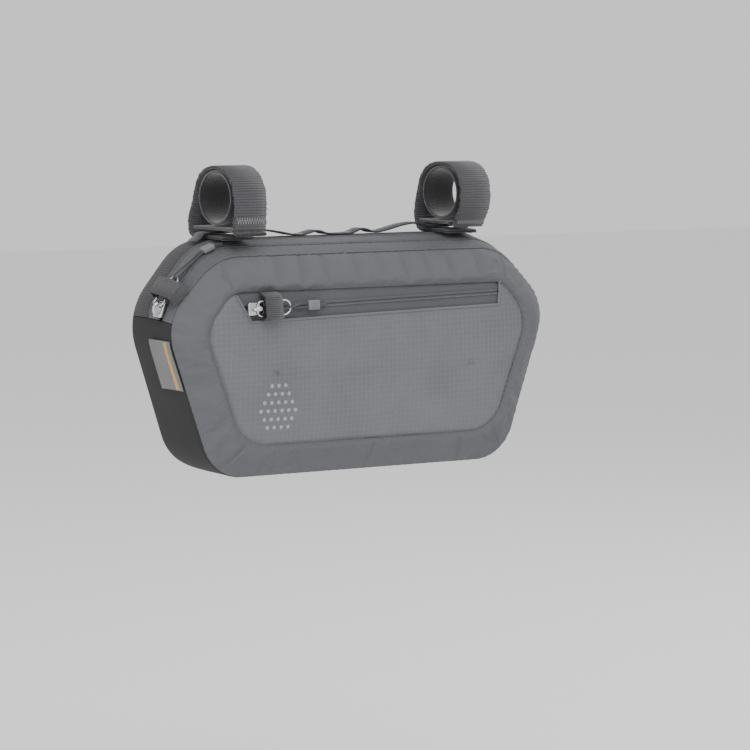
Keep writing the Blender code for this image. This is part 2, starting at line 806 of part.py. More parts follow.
def garage_on(name, bench, along, low, high):
    """A webbing tab that bridges a zip, sewn down at its two ends."""
    steps = 16
    steepness = 3.2
    rows = []
    for side in (-0.50, -0.25, 0.0, 0.25, 0.50):
        row = []
        for step in range(steps + 1):
            share = step / steps
            rise = GARAGE_RISE * min(1.0, math.sin(math.pi * share) * steepness) + SEAM_GAP
            row.append(bench.point(along + side * GARAGE_WIDTH, low + (high - low) * share, rise))
        rows.append(row)
    shape = bmesh.new()
    lines = [[shape.verts.new(point) for point in row] for row in rows]
    for near, far in zip(lines, lines[1:]):
        for index in range(steps):
            shape.faces.new((near[index], near[index + 1], far[index + 1], far[index]))
    outward = bench.frame(along, (low + high) / 2, 0.0).col[2].to_3d()
    return sheet_solid(name, shape, GARAGE_THICK, outward, "webbing")


def sheet_solid(name, shape, thickness, outward, paint):
    """An open sheet given its thickness on the side that outward points to."""
    shape.normal_update()
    lean = sum((face.normal.dot(outward) * face.calc_area() for face in shape.faces))
    if lean < 0:
        bmesh.ops.reverse_faces(shape, faces=shape.faces)
    mesh = bpy.data.meshes.new(name)
    shape.to_mesh(mesh)
    shape.free()
    mesh.shade_smooth()
    mesh.set_sharp_from_angle(angle=math.radians(35.0))
    item = add_object(name, mesh, paint)
    wall = item.modifiers.new("wall", "SOLIDIFY")
    wall.thickness = thickness
    wall.offset = 1.0
    wall.use_even_offset = True
    return item


def build_zip_pieces(panel_mesh):
    """Chains, sliders, pulls and tabs of both zips."""
    pocket = pocket_bench(panel_mesh)
    steps = 20
    half = COIL_WIDTH / 2
    sink = TAPE_WALL
    rise = COIL_HEIGHT - TAPE_WALL
    shape = bmesh.new()
    rings = []
    for step in range(steps + 1):
        along = half + (POCKET_SPAN - 2 * half) * step / steps
        spots = [(-half, -sink), (half, -sink), (half, 0.0), (half * 0.4, rise),
                 (-half * 0.4, rise), (-half, 0.0)]
        ring = [shape.verts.new(pocket.point(along, across, above)) for across, above in spots]
        rings.append(ring)
    for low, high in zip(rings, rings[1:]):
        for index in range(6):
            other = (index + 1) % 6
            shape.faces.new((low[index], low[other], high[other], high[index]))
    shape.faces.new(rings[0])
    shape.faces.new(rings[-1])
    finish_mesh("pocket_zip_chain", shape, "zip_tape")

    pocket_slider = SLIDER_LENGTH * 0.62
    slider_on("pocket_slider", pocket, pocket_slider)
    pull_on("pocket", pocket, pocket_slider, POCKET_PULL_LENGTH, POCKET_CORD_REACH)
    low = -POCKET_TAPE_BELOW + 2 * SEAM_GAP
    high = POCKET_TAPE_HEIGHT - POCKET_TAPE_BELOW - 2 * SEAM_GAP
    garage_on("pocket_garage", pocket, pocket_slider + SLIDER_TO_GARAGE, low, high)

    main = main_bench()
    main_slider = SLIDER_LENGTH * 0.55
    slider_on("main_slider", main, main_slider)
    pull_on("main", main, main_slider, MAIN_PULL_LENGTH, MAIN_CORD_REACH)
    span = BACK_SEAM_Y - RIM_SEAM_Y
    reach = MAIN_CHAIN_SHARE * span - 2 * SEAM_GAP
    garage_on("main_garage", main, main_slider + SLIDER_TO_GARAGE, -reach, reach)


def build_label():
    """The side label, sewn into the rim seam below the zip's end on the -X side."""
    start = -ZIP_END - (LABEL_BELOW_ZIP + LABEL_HEIGHT) / HALF_GIRTH
    end = -ZIP_END - LABEL_BELOW_ZIP / HALF_GIRTH
    far = LABEL_WIDTH / (BACK_SEAM_Y - RIM_SEAM_Y)
    shares = [0.03 + (far - 0.03) * step / 4 for step in range(5)]
    places = [start + (end - start) * step / 6 for step in range(7)]
    lift = LABEL_THICK + SEAM_GAP
    shell("side_label", gusset_spot, shares, places, LABEL_THICK, "label", lift)


# Straps
class Turn(NamedTuple):
    """A point of a strap's middle line, for the -X strap and the +X strap."""

    left_y: float       # share of the strap's reach, - in front
    left_z: float       # share of its height over the bar's axis, or of its depth below it
    right_y: float
    right_z: float


STRAP_TURNS = (
    Turn(-0.975, -0.735, -0.660, -0.850),
    Turn(-0.995, -0.430, -0.800, -0.640),
    Turn(-1.000, -0.110, -0.965, -0.330),
    Turn(-0.930, 0.340, -1.000, 0.050),
    Turn(-0.715, 0.720, -0.900, 0.520),
    Turn(-0.380, 0.950, -0.560, 0.900),
    Turn(0.000, 1.000, -0.080, 1.000),
    Turn(0.340, 0.920, 0.330, 0.930),
    Turn(0.640, 0.710, 0.640, 0.720),
    Turn(0.850, 0.340, 0.840, 0.360),
    Turn(0.980, -0.110, 0.950, -0.130),
    Turn(1.120, -0.450, 1.030, -0.420),
    Turn(1.180, -0.700, 1.050, -0.650),
    Turn(1.110, -0.930, 0.980, -0.880),
    Turn(0.880, -1.000, 0.800, -1.000),
    Turn(0.400, -1.000, 0.350, -1.000),
    Turn(-0.150, -1.000, -0.150, -1.000),
    Turn(-0.420, -1.020, -0.420, -1.020),
)
TONGUE_TURNS = (
    Turn(0.980, 0.100, 0.900, 0.000),
    Turn(0.500, 0.000, 0.500, 0.000),
    Turn(0.000, 0.000, 0.000, 0.000),
    Turn(-0.550, 0.080, -0.250, 0.040),
    Turn(-0.900, 0.450, -0.400, 0.150),
    Turn(-1.060, 1.300, -0.520, 0.300),
)


def ribbon(name, route, middle_x, thickness, paint, closed=False):
    """A flat band across X that follows a route in y and z, with its thickness."""
    shape = bmesh.new()
    edges = []
    for side in (-0.5, 0.5):
        x = middle_x + side * STRAP_WIDTH
        edges.append([shape.verts.new((x, point.x, point.y)) for point in route])
    near, far = edges
    count = len(route)
    for index in range(count if closed else count - 1):
        other = (index + 1) % count
        shape.faces.new((near[index], near[other], far[other], far[index]))
    bmesh.ops.recalc_face_normals(shape, faces=shape.faces)
    mesh = bpy.data.meshes.new(name)
    shape.to_mesh(mesh)
    shape.free()
    mesh.shade_smooth()
    mesh.set_sharp_from_angle(angle=math.radians(35.0))
    item = add_object(name, mesh, paint)
    wall = item.modifiers.new("wall", "SOLIDIFY")
    wall.thickness = thickness
    wall.offset = 0.0
    wall.use_even_offset = True
    return item


def gusset_top_z():
    """Height of the highest line along the top of the gusset."""
    return max(gusset_spot(row.share, 0.0)[0].z for row in GUSSET_ROWS)


def build_strap(name, middle_x, left):
    """One strap: its outer webbing, the liner round the bar, and the tongue under the bar."""
    liner_top = BAR_DIAMETER / 2 + BAR_CLEARANCE + LINER_THICK
    top = liner_top + LAYER_GAP + STRAP_THICK / 2
    run = -(gusset_top_z() + SEAM_GAP + STRAP_THICK / 2)
    route = []
    for turn in STRAP_TURNS:
        y, z = (turn.left_y, turn.left_z) if left else (turn.right_y, turn.right_z)
        route.append(Vector((y * STRAP_REACH, z * (top if z > 0 else run))))
    ribbon("strap_" + name, smooth_route(route, 3), middle_x, STRAP_THICK, "webbing")

    half_height = BAR_DIAMETER / 2 + BAR_CLEARANCE + LINER_THICK / 2
    count = 32
    loop = []
    for step in range(count):
        angle = FULL_TURN * math.pi * step / count
        loop.append(Vector((LINER_OFFSET + math.cos(angle) * LINER_REACH,
                            math.sin(angle) * half_height)))
    ribbon("strap_liner_" + name, loop, middle_x, LINER_THICK, "loop_pile", closed=True)

    level = -(liner_top + LAYER_GAP + TONGUE_THICK / 2)
    route = []
    for turn in TONGUE_TURNS:
        y, drop = (turn.left_y, turn.left_z) if left else (turn.right_y, turn.right_z)
        route.append(Vector((y * STRAP_REACH * TONGUE_SHARE, level - drop * TONGUE_THICK)))
    ribbon("strap_tongue_" + name, smooth_route(route, 3), middle_x, TONGUE_THICK, "loop_pile")


class Arch(NamedTuple):
    """A point of the daisy strip: shares of its half length and of its height over a strap."""

    x: float
    lift: float


DAISY_ARCHES = (
    Arch(-1.000, -0.75), Arch(-0.970, 0.05), Arch(-0.935, 1.02), Arch(-0.810, 1.08),
    Arch(-0.690, 1.06), Arch(-0.610, 1.25), Arch(-0.515, 1.30), Arch(-0.410, 0.75),
    Arch(-0.320, 0.12), Arch(-0.250, 0.00), Arch(-0.145, 0.80), Arch(-0.060, 0.05),
    Arch(0.093, 0.00), Arch(0.185, 0.95), Arch(0.268, 0.15), Arch(0.340, 0.35),
    Arch(0.485, 1.55), Arch(0.588, 1.90), Arch(0.660, 1.35), Arch(0.712, 1.10),
    Arch(0.810, 1.08), Arch(0.935, 1.02), Arch(0.970, 0.05), Arch(1.000, -0.75),
)


def build_daisy():
    """The webbing strip along the top, in arches that the straps pass under."""
    seat = gusset_top_z() + SEAM_GAP
    over_strap = STRAP_THICK + 2 * SEAM_GAP
    spots = [Vector((arch.x * DAISY_END_X, seat + arch.lift * over_strap)) for arch in DAISY_ARCHES]
    route = smooth_route(spots, 3)
    shape = bmesh.new()
    edges = []
    for side in (-0.5, 0.5):
        y = DAISY_Y + side * DAISY_WIDTH
        edges.append([shape.verts.new((point.x, y, point.y)) for point in route])
    near, far = edges
    for index in range(len(route) - 1):
        shape.faces.new((near[index], near[index + 1], far[index + 1], far[index]))
    sheet_solid("daisy_chain", shape, DAISY_THICK, Vector((0.0, 0.0, 1.0)), "webbing")


def build_straps():
    """Both straps and the strip that ties them to the bag."""
    build_daisy()
    build_strap("left", -HALF_STRAP_SPACING, True)
    build_strap("right", HALF_STRAP_SPACING, False)


def main():
    """Build the whole bag."""
    panel_mesh = build_front()
    build_ring()
    build_gusset()
    build_back()
    build_zip_pieces(panel_mesh)
    build_label()
    build_straps()


main()
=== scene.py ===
"""Looks of a bicycle handlebar bag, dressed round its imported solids.

Metres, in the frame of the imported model: +X along the handlebar, the bag's front faces -Y, +Z up.
"""

import logging
import math
from dataclasses import dataclass, field
from enum import Enum
from typing import Callable, NamedTuple, Sequence

import bmesh
import bpy
from mathutils import Matrix, Vector, noise
from mathutils.bvhtree import BVHTree


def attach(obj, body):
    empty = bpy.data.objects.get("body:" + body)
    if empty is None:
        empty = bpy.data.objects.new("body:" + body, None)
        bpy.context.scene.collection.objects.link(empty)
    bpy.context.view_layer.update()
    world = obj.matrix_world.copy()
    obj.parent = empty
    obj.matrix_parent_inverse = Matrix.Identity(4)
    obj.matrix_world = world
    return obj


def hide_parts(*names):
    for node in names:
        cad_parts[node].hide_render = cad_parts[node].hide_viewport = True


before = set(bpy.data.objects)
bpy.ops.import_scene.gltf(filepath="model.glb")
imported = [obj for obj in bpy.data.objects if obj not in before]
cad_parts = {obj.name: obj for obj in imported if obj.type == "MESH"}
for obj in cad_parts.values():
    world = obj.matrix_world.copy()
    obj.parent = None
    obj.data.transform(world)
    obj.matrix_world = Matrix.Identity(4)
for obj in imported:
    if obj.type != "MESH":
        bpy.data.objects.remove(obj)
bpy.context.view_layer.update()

log = logging.getLogger("handlebar_bag")
MM = 0.001


class Pattern(Enum):
    """What the surface of a finish is woven, knitted or cast like."""

    PLAIN = "plain_weave"
    RIPSTOP = "ripstop"
    HERRINGBONE = "herringbone"
    RIBBED = "ribbed"
    PILE = "pile"
    CAST = "cast"


class Unit(Enum):
    """The small shape that a row repeats."""

    BEAD = "bead"
    ROD = "rod"


class Side(Enum):
    """Which strap, by the sign of its X."""

    LEFT = -1
    RIGHT = 1


class Sketch:
    """Short ways to place and join the nodes of one tree."""

    def __init__(self, tree: bpy.types.NodeTree) -> None:
        """Start with a tree.

        Args:
            tree: the tree that gets the nodes.
        """
        self.tree = tree
        self.count = 0

    def add(self, kind: str, **settings: object) -> bpy.types.Node:
        """Place a node.

        Args:
            kind: its type's name.
            settings: its properties.

        Returns:
            The node.
        """
        node = self.tree.nodes.new(kind)
        node.location = ((self.count % 9) * 190, -(self.count // 9) * 240)
        self.count += 1
        for key, value in settings.items():
            setattr(node, key, value)
        return node

    def feed(self, socket: bpy.types.NodeSocket, value: object) -> None:
        """Link a socket to another, or set its value.

        Args:
            socket: the input.
            value: an output socket, or a plain value.
        """
        if isinstance(value, bpy.types.NodeSocket):
            self.tree.links.new(value, socket)
        else:
            socket.default_value = value

    def math(self, operation: str, *values: object) -> bpy.types.NodeSocket:
        """Place a Math node.

        Args:
            operation: its operation.
            values: its inputs, in order.

        Returns:
            Its output.
        """
        node = self.add("ShaderNodeMath", operation=operation)
        for socket, value in zip(node.inputs, values):
            self.feed(socket, value)
        return node.outputs[0]

    def split(self, vector: bpy.types.NodeSocket) -> tuple[bpy.types.NodeSocket, ...]:
        """Split a vector.

        Args:
            vector: the vector's socket.

        Returns:
            Its three numbers.
        """
        node = self.add("ShaderNodeSeparateXYZ")
        self.feed(node.inputs[0], vector)
        return tuple(node.outputs)

    def noise(self, vector: object, scale: object, detail: float = 3.0) -> bpy.types.NodeSocket:
        """Place a noise texture.

        Args:
            vector: where it is read.
            scale: its scale, per metre.
            detail: its octaves.

        Returns:
            Its value from 0 to 1.
        """
        node = self.add("ShaderNodeTexNoise")
        self.feed(node.inputs["Vector"], vector)
        self.feed(node.inputs["Scale"], scale)
        node.inputs["Detail"].default_value = detail
        return node.outputs[0]

    def ramp(self, value: object, low: float, high: float, start: float,
             end: float) -> bpy.types.NodeSocket:
        """Map a value smoothly from one range to another.

        Args:
            value: the value.
            low: where its range starts.
            high: where its range ends.
            start: the result at low.
            end: the result at high.

        Returns:
            The mapped value.
        """
        node = self.add("ShaderNodeMapRange", interpolation_type="SMOOTHSTEP")
        for socket, given in zip(node.inputs, (value, low, high, start, end)):
            self.feed(socket, given)
        return node.outputs[0]

    def mix(self, share: object, first: object, second: object) -> bpy.types.NodeSocket:
        """Mix two colours.

        Args:
            share: how much of the second.
            first: a colour or socket.
            second: a colour or socket.

        Returns:
            The mixed colour.
        """
        node = self.add("ShaderNodeMix", data_type="RGBA")
        for index, given in ((0, share), (6, first), (7, second)):
            self.feed(node.inputs[index], given)
        return node.outputs[2]


class Effects:
    """The shader node groups that the finishes share, each built once."""

    def __init__(self) -> None:
        """Start with no group."""
        self.made: dict[str, bpy.types.NodeTree] = {}

    def start(self, name: str, inputs: Sequence[str],
              outputs: Sequence[str]) -> tuple[Sketch, dict, dict]:
        """Make an empty group with a Vector input and named number sockets.

        Args:
            name: the group's name.
            inputs: names of its number inputs.
            outputs: names of its number outputs.

        Returns:
            The sketch, its input sockets by name, and its output sockets by name.
        """
        tree = bpy.data.node_groups.new(name, "ShaderNodeTree")
        tree.interface.new_socket("Vector", in_out="INPUT", socket_type="NodeSocketVector")
        for label in inputs:
            tree.interface.new_socket(label, in_out="INPUT", socket_type="NodeSocketFloat")
        for label in outputs:
            tree.interface.new_socket(label, in_out="OUTPUT", socket_type="NodeSocketFloat")
        sketch = Sketch(tree)
        given = sketch.add("NodeGroupInput").outputs
        wanted = sketch.add("NodeGroupOutput").inputs
        self.made[name] = tree
        return (sketch, {label: given[label] for label in ("Vector", *inputs)},
                {label: wanted[label] for label in outputs})

    def wave(self, sketch: Sketch, value: object, pitch: object) -> bpy.types.NodeSocket:
        """A sine that repeats once a pitch, from -1 to 1.

        Args:
            sketch: the tree's sketch.
            value: the place.
            pitch: the length of one repeat.

        Returns:
            The sine.
        """
        turns = sketch.math("DIVIDE", value, pitch)
        return sketch.math("SINE", sketch.math("MULTIPLY", turns, math.tau))

    def pattern(self, kind: Pattern) -> bpy.types.NodeTree:
        """The relief of one kind of surface, with outputs Height and Line.

        Args:
            kind: the kind of surface.

        Returns:
            The node group.
        """
        if kind.value in self.made:
            return self.made[kind.value]
        sketch, given, wanted = self.start(kind.value, ("Pitch",), ("Height", "Line"))
        pitch = given["Pitch"]
        u, v, w = sketch.split(given["Vector"])
        fuzz = sketch.noise(given["Vector"], sketch.math("DIVIDE", 1.0, pitch))
        if kind is Pattern.PLAIN:
            woven = sketch.math("MULTIPLY", self.wave(sketch, u, pitch), self.wave(sketch, v, pitch))
            height = sketch.math("MULTIPLY_ADD", woven, 0.35, fuzz)
            line = fuzz
        elif kind is Pattern.RIPSTOP:
            half = sketch.math("MULTIPLY", pitch, 0.5)
            near = [sketch.math("DIVIDE", sketch.math("PINGPONG", axis, half), half) for axis in (u, v)]
            closest = sketch.math("MINIMUM", *near)
            line = sketch.ramp(closest, 0.06, 0.24, 1.0, 0.0)
            fine = sketch.math("DIVIDE", pitch, 8.0)
            woven = sketch.math("MULTIPLY", self.wave(sketch, u, fine), self.wave(sketch, v, fine))
            height = sketch.math("MULTIPLY_ADD", woven, 0.12, line)
        elif kind is Pattern.HERRINGBONE:
            column = sketch.math("PINGPONG", v, sketch.math("MULTIPLY", pitch, 1.5))
            slanted = sketch.math("MULTIPLY_ADD", column, 1.2, u)
            height = self.wave(sketch, slanted, pitch)
            line = sketch.math("MULTIPLY_ADD", height, 0.5, 0.5)
        elif kind is Pattern.RIBBED:
            rib = sketch.math("ABSOLUTE", self.wave(sketch, u, sketch.math("MULTIPLY", pitch, 2.0)))
            yarn = self.wave(sketch, sketch.math("ADD", v, w), sketch.math("MULTIPLY", pitch, 0.6))
            height = sketch.math("MULTIPLY_ADD", yarn, 0.22, rib)
            line = sketch.math("MULTIPLY", rib, fuzz)
        elif kind is Pattern.PILE:
            cells = sketch.add("ShaderNodeTexVoronoi")
            sketch.feed(cells.inputs["Vector"], given["Vector"])
            sketch.feed(cells.inputs["Scale"], sketch.math("DIVIDE", 1.0, pitch))
            height = sketch.math("SUBTRACT", fuzz, cells.outputs["Distance"])
            line = fuzz
        else:
            height = fuzz
            line = sketch.ramp(fuzz, 0.4, 0.7, 0.0, 1.0)
        sketch.feed(wanted["Height"], height)
        sketch.feed(wanted["Line"], line)
        return self.made[kind.value]

    def wear(self) -> bpy.types.NodeTree:
        """Slow changes of tone and fine dust over a surface, with outputs Tone and Dust.

        Returns:
            The node group.
        """
        if "wear" in self.made:
            return self.made["wear"]
        sketch, given, wanted = self.start("wear", ("Scale",), ("Tone", "Dust"))
        broad = sketch.noise(given["Vector"], given["Scale"], 4.0)
        fine = sketch.noise(given["Vector"], sketch.math("MULTIPLY", given["Scale"], 28.0), 2.0)
        blended = sketch.math("MULTIPLY_ADD", fine, 0.35, sketch.math("MULTIPLY", broad, 0.65))
        sketch.feed(wanted["Tone"], sketch.ramp(blended, 0.32, 0.68, 0.0, 1.0))
        sketch.feed(wanted["Dust"], sketch.ramp(fine, 0.62, 0.78, 0.0, 1.0))
        return self.made["wear"]


EFFECTS = Effects()


@dataclass(frozen=True)
class Finish:
    """One finish: its colour, gloss and woven relief.

    tint and line_tint are linear colours; pitch and relief are in metres; on_uv says that the
    pattern follows the piece's own UV map, which is in metres, and not the object's coordinates.
    """

    name: str
    tint: tuple[float, float, float]
    roughness: float
    pattern: Pattern
    pitch: float
    relief: float
    line_share: float = 0.0
    line_tint: tuple[float, float, float] = (0.2, 0.2, 0.2)
    variation: float = 0.18
    metallic: float = 0.0
    sheen: float = 0.0
    coat: float = 0.0
    on_uv: bool = True

    def shade(self, factor: float) -> tuple[float, float, float, float]:
        """The tint made darker or lighter.

        Args:
            factor: what each colour is multiplied by.

        Returns:
            The colour with its alpha.
        """
        red, green, blue = (min(1.0, channel * factor) for channel in self.tint)
        return red, green, blue, 1.0

    def make(self) -> bpy.types.Material:
        """The material of this finish, made once.

        Returns:
            The material.
        """
        known = bpy.data.materials.get(self.name)
        if known:
            return known
        material = bpy.data.materials.new(self.name)
        material.use_nodes = True
        sketch = Sketch(material.node_tree)
        surface = material.node_tree.nodes["Principled BSDF"]
        places = sketch.add("ShaderNodeTexCoord").outputs
        woven = sketch.add("ShaderNodeGroup", node_tree=EFFECTS.pattern(self.pattern))
        sketch.feed(woven.inputs["Vector"], places["UV" if self.on_uv else "Object"])
        woven.inputs["Pitch"].default_value = self.pitch
        worn = sketch.add("ShaderNodeGroup", node_tree=EFFECTS.wear())
        sketch.feed(worn.inputs["Vector"], places["Object"])
        worn.inputs["Scale"].default_value = 38.0
        tone = worn.outputs["Tone"]
        colour = sketch.mix(tone, self.shade(1.0 - self.variation), self.shade(1.0 + self.variation))
        share = sketch.math("MULTIPLY", woven.outputs["Line"], self.line_share)
        colour = sketch.mix(share, colour, (*self.line_tint, 1.0))
        dusty = sketch.math("MULTIPLY", worn.outputs["Dust"], 0.05)
        colour = sketch.mix(dusty, colour, (0.45, 0.44, 0.42, 1.0))
        sketch.feed(surface.inputs["Base Color"], colour)
        rough = sketch.ramp(tone, 0.0, 1.0, self.roughness - 0.05, self.roughness + 0.05)
        sketch.feed(surface.inputs["Roughness"], rough)
        surface.inputs["Metallic"].default_value = self.metallic
        surface.inputs["Sheen Weight"].default_value = self.sheen
        surface.inputs["Sheen Roughness"].default_value = 0.45
        surface.inputs["Coat Weight"].default_value = self.coat
        surface.inputs["Coat Roughness"].default_value = 0.35
        bump = sketch.add("ShaderNodeBump")
        bump.inputs["Strength"].default_value = 1.0
        bump.inputs["Distance"].default_value = self.relief
        sketch.feed(bump.inputs["Height"], woven.outputs["Height"])
        sketch.feed(surface.inputs["Normal"], bump.outputs["Normal"])
        return material


RIPSTOP_CLOTH = Finish("ripstop_cloth", (0.118, 0.123, 0.136), 0.50, Pattern.RIPSTOP, 3.0 * MM, 0.06 * MM,
                       line_share=0.35, line_tint=(0.175, 0.180, 0.195), variation=0.10, sheen=0.15)
COATED_CLOTH = Finish("coated_cloth", (0.108, 0.112, 0.124), 0.42, Pattern.PLAIN, 0.7 * MM, 0.03 * MM,
                      variation=0.10, sheen=0.10)
GUSSET_CLOTH = Finish("gusset_cloth", (0.020, 0.020, 0.023), 0.72, Pattern.PLAIN, 0.8 * MM, 0.05 * MM,
                      variation=0.22, sheen=0.12)
RIBBED_CLOTH = Finish("ribbed_cloth", (0.018, 0.018, 0.021), 0.75, Pattern.RIBBED, 1.6 * MM, 0.20 * MM,
                      line_share=0.10, line_tint=(0.06, 0.06, 0.07), variation=0.20, sheen=0.15)
TAPE_CLOTH = Finish("tape_cloth", (0.078, 0.080, 0.088), 0.78, Pattern.HERRINGBONE, 1.1 * MM, 0.10 * MM,
                    line_share=0.40, line_tint=(0.125, 0.128, 0.140), variation=0.12, sheen=0.10)
COIL_PLASTIC = Finish("coil_plastic", (0.030, 0.031, 0.035), 0.45, Pattern.CAST, 0.9 * MM, 0.03 * MM,
                      on_uv=False)
SEAM_THREAD = Finish("seam_thread", (0.150, 0.152, 0.162), 0.62, Pattern.CAST, 0.4 * MM, 0.04 * MM,
                     on_uv=False, sheen=0.2)
PALE_THREAD = Finish("pale_thread", (0.300, 0.300, 0.310), 0.60, Pattern.CAST, 0.4 * MM, 0.04 * MM,
                     on_uv=False, sheen=0.2)
STRAP_YARN = Finish("strap_yarn", (0.052, 0.052, 0.058), 0.70, Pattern.RIBBED, 0.85 * MM, 0.10 * MM,
                    line_share=0.30, line_tint=(0.13, 0.13, 0.14), on_uv=False, sheen=0.25)
STRAP_CORE = Finish("strap_core", (0.022, 0.022, 0.025), 0.80, Pattern.RIBBED, 1.5 * MM, 0.10 * MM,
                    sheen=0.10)
LOOP_PILE = Finish("loop_pile_cloth", (0.011, 0.011, 0.013), 0.95, Pattern.PILE, 0.8 * MM, 0.30 * MM,
                   line_share=0.10, line_tint=(0.05, 0.05, 0.055), on_uv=False, sheen=0.5)
BRAID = Finish("braided_cord", (0.040, 0.040, 0.045), 0.75, Pattern.HERRINGBONE, 0.6 * MM, 0.10 * MM,
               line_share=0.35, line_tint=(0.15, 0.15, 0.16), sheen=0.2)
GRIP_RUBBER = Finish("grip_rubber_surface", (0.170, 0.172, 0.180), 0.55, Pattern.CAST, 0.5 * MM, 0.02 * MM,
                     on_uv=False)
SLIDER_METAL = Finish("slider_metal_surface", (0.62, 0.62, 0.63), 0.20, Pattern.CAST, 0.6 * MM, 0.01 * MM,
                      metallic=1.0, variation=0.08, on_uv=False)
LABEL_SATIN = Finish("label_satin", (0.105, 0.104, 0.110), 0.40, Pattern.HERRINGBONE, 0.5 * MM, 0.03 * MM,
                     line_share=0.30, line_tint=(0.17, 0.17, 0.18), sheen=0.3)
LABEL_BAND = Finish("label_band", (0.520, 0.300, 0.055), 0.55, Pattern.PLAIN, 0.5 * MM, 0.04 * MM,
                    on_uv=False, sheen=0.2)
PRINT_INK = Finish("print_ink", (0.330, 0.335, 0.345), 0.50, Pattern.CAST, 0.5 * MM, 0.01 * MM,
                   variation=0.06, on_uv=False)


def link(name: str, data: bpy.types.ID) -> bpy.types.Object:
    """Put data in the scene as an object at the origin.

    Args:
        name: the piece's name.
        data: its mesh.

    Returns:
        The object.
    """
    item = bpy.data.objects.new(name, data)
    bpy.context.scene.collection.objects.link(item)
    return item


def settle_modifiers(item: bpy.types.Object) -> None:
    """Keep what the modifiers make as the object's own mesh.

    Args:
        item: the object.
    """
    bpy.context.view_layer.update()
    evaluated = item.evaluated_get(bpy.context.evaluated_depsgraph_get())
    mesh = bpy.data.meshes.new_from_object(evaluated)
    item.modifiers.clear()
    item.data = mesh


def soften(mesh: bpy.types.Mesh, angle: float = 40.0) -> None:
    """Shade a mesh smooth, apart from its sharp edges.

    Args:
        mesh: the mesh.
        angle: edges that turn more than this many degrees stay sharp.
    """
    mesh.shade_smooth()
    mesh.set_sharp_from_angle(angle=math.radians(angle))


def hand_over(item: bpy.types.Object, finish: Finish, slot: str, *stands_for: str) -> bpy.types.Object:
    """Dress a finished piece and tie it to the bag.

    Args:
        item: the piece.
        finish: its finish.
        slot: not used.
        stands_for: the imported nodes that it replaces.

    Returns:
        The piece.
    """
    item.data.materials.clear()
    item.data.materials.append(finish.make())
    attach(item, "root")
    if stands_for:
        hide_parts(*stands_for)
    log.info("%s: %d faces, %s", item.name, len(item.data.polygons), finish.name)
    return item


class Spot(NamedTuple):
    """A point on a surface and the way that the surface faces there."""

    point: Vector
    facing: Vector


class Station(NamedTuple):
    """A place along a swept piece, with the ways across it and out of it."""

    point: Vector
    across: Vector
    out: Vector


def round_profile(radius: float, sides: int = 10) -> list[tuple[float, float]]:
    """A round section for a sweep.

    Args:
        radius: its radius.
        sides: its sides.

    Returns:
        Distances across and out, in order.
    """
    turns = [math.tau * index / sides for index in range(sides)]
    return [(math.cos(turn) * radius, math.sin(turn) * radius) for turn in turns]


def band_profile(width: float, thick: float, sides: int = 28) -> list[tuple[float, float]]:
    """A flat section with round edges for a sweep.

    Args:
        width: its width.
        thick: its thickness.
        sides: its sides.

    Returns:
        Distances across and out, in order.
    """
    points = []
    for index in range(sides):
        turn = math.tau * (index + 0.5) / sides
        across = math.copysign(abs(math.cos(turn)) ** 0.35, math.cos(turn)) * width / 2
        out = math.copysign(abs(math.sin(turn)) ** 0.35, math.sin(turn)) * thick / 2
        points.append((across, out))
    return points


def smooth_route(points: Sequence[Vector], steps: int) -> list[Vector]:
    """Points on a smooth curve through the given ones.

    Args:
        points: the given points.
        steps: how many stretches between two of them.

    Returns:
        The curve's points.
    """
    route = []
    padded = [2 * points[0] - points[1], *points, 2 * points[-1] - points[-2]]
    for a, b, c, d in zip(padded, padded[1:], padded[2:], padded[3:]):
        for step in range(steps):
            t = step / steps
            bend = (-t + 2 * t * t - t ** 3) * a + (2 - 5 * t * t + 3 * t ** 3) * b
            bend += (t + 4 * t * t - 3 * t ** 3) * c + (-t * t + t ** 3) * d
            route.append(bend / 2)
    route.append(points[-1])
    return route


def stations_along(points: Sequence[Vector], hint: Vector, closed: bool = False) -> list[Station]:
    """Stations along a free curve.

    Args:
        points: the curve's points.
        hint: a direction that stays close to the way across it.
        closed: whether it closes on itself.

    Returns:
        The stations.
    """
    stations = []
    last = len(points) - 1
    for index, point in enumerate(points):
        after = points[(index + 1) % len(points)] if closed else points[min(index + 1, last)]
        before = points[index - 1] if closed else points[max(index - 1, 0)]
        ahead = (after - before).normalized()
        across = (hint - ahead * hint.dot(ahead)).normalized()
        stations.append(Station(point, across, across.cross(ahead)))
    return stations


def sweep(name: str, stations: Sequence[Station], profile: Sequence[tuple[float, float]],
          closed: bool = False) -> bpy.types.Object:
    """A closed section carried along stations, with its UV map in metres.

    Args:
        name: the piece's name.
        stations: the stations.
        profile: the section, as distances across and out.
        closed: whether the sweep closes on itself.

    Returns:
        The object.
    """
    shape = bmesh.new()
    chart = shape.loops.layers.uv.new("UVMap")
    rings = [[shape.verts.new(s.point + s.across * a + s.out * o) for a, o in profile] for s in stations]
    count = len(profile)
    spans = len(stations) if closed else len(stations) - 1
    reach = 0.0
    for index in range(spans):
        low, high = rings[index], rings[(index + 1) % len(rings)]
        step = (stations[(index + 1) % len(stations)].point - stations[index].point).length
        for k in range(count):
            n = (k + 1) % count
            face = shape.faces.new((low[k], low[n], high[n], high[k]))
            spots = ((reach, profile[k][0]), (reach, profile[n][0]),
                     (reach + step, profile[n][0]), (reach + step, profile[k][0]))
            for loop, spot in zip(face.loops, spots):
                loop[chart].uv = spot
        reach += step
    if not closed:
        shape.faces.new(rings[0])
        shape.faces.new(rings[-1])
    bmesh.ops.recalc_face_normals(shape, faces=shape.faces)
    mesh = bpy.data.meshes.new(name)
    shape.to_mesh(mesh)
    shape.free()
    soften(mesh, 50.0)
    return link(name, mesh)


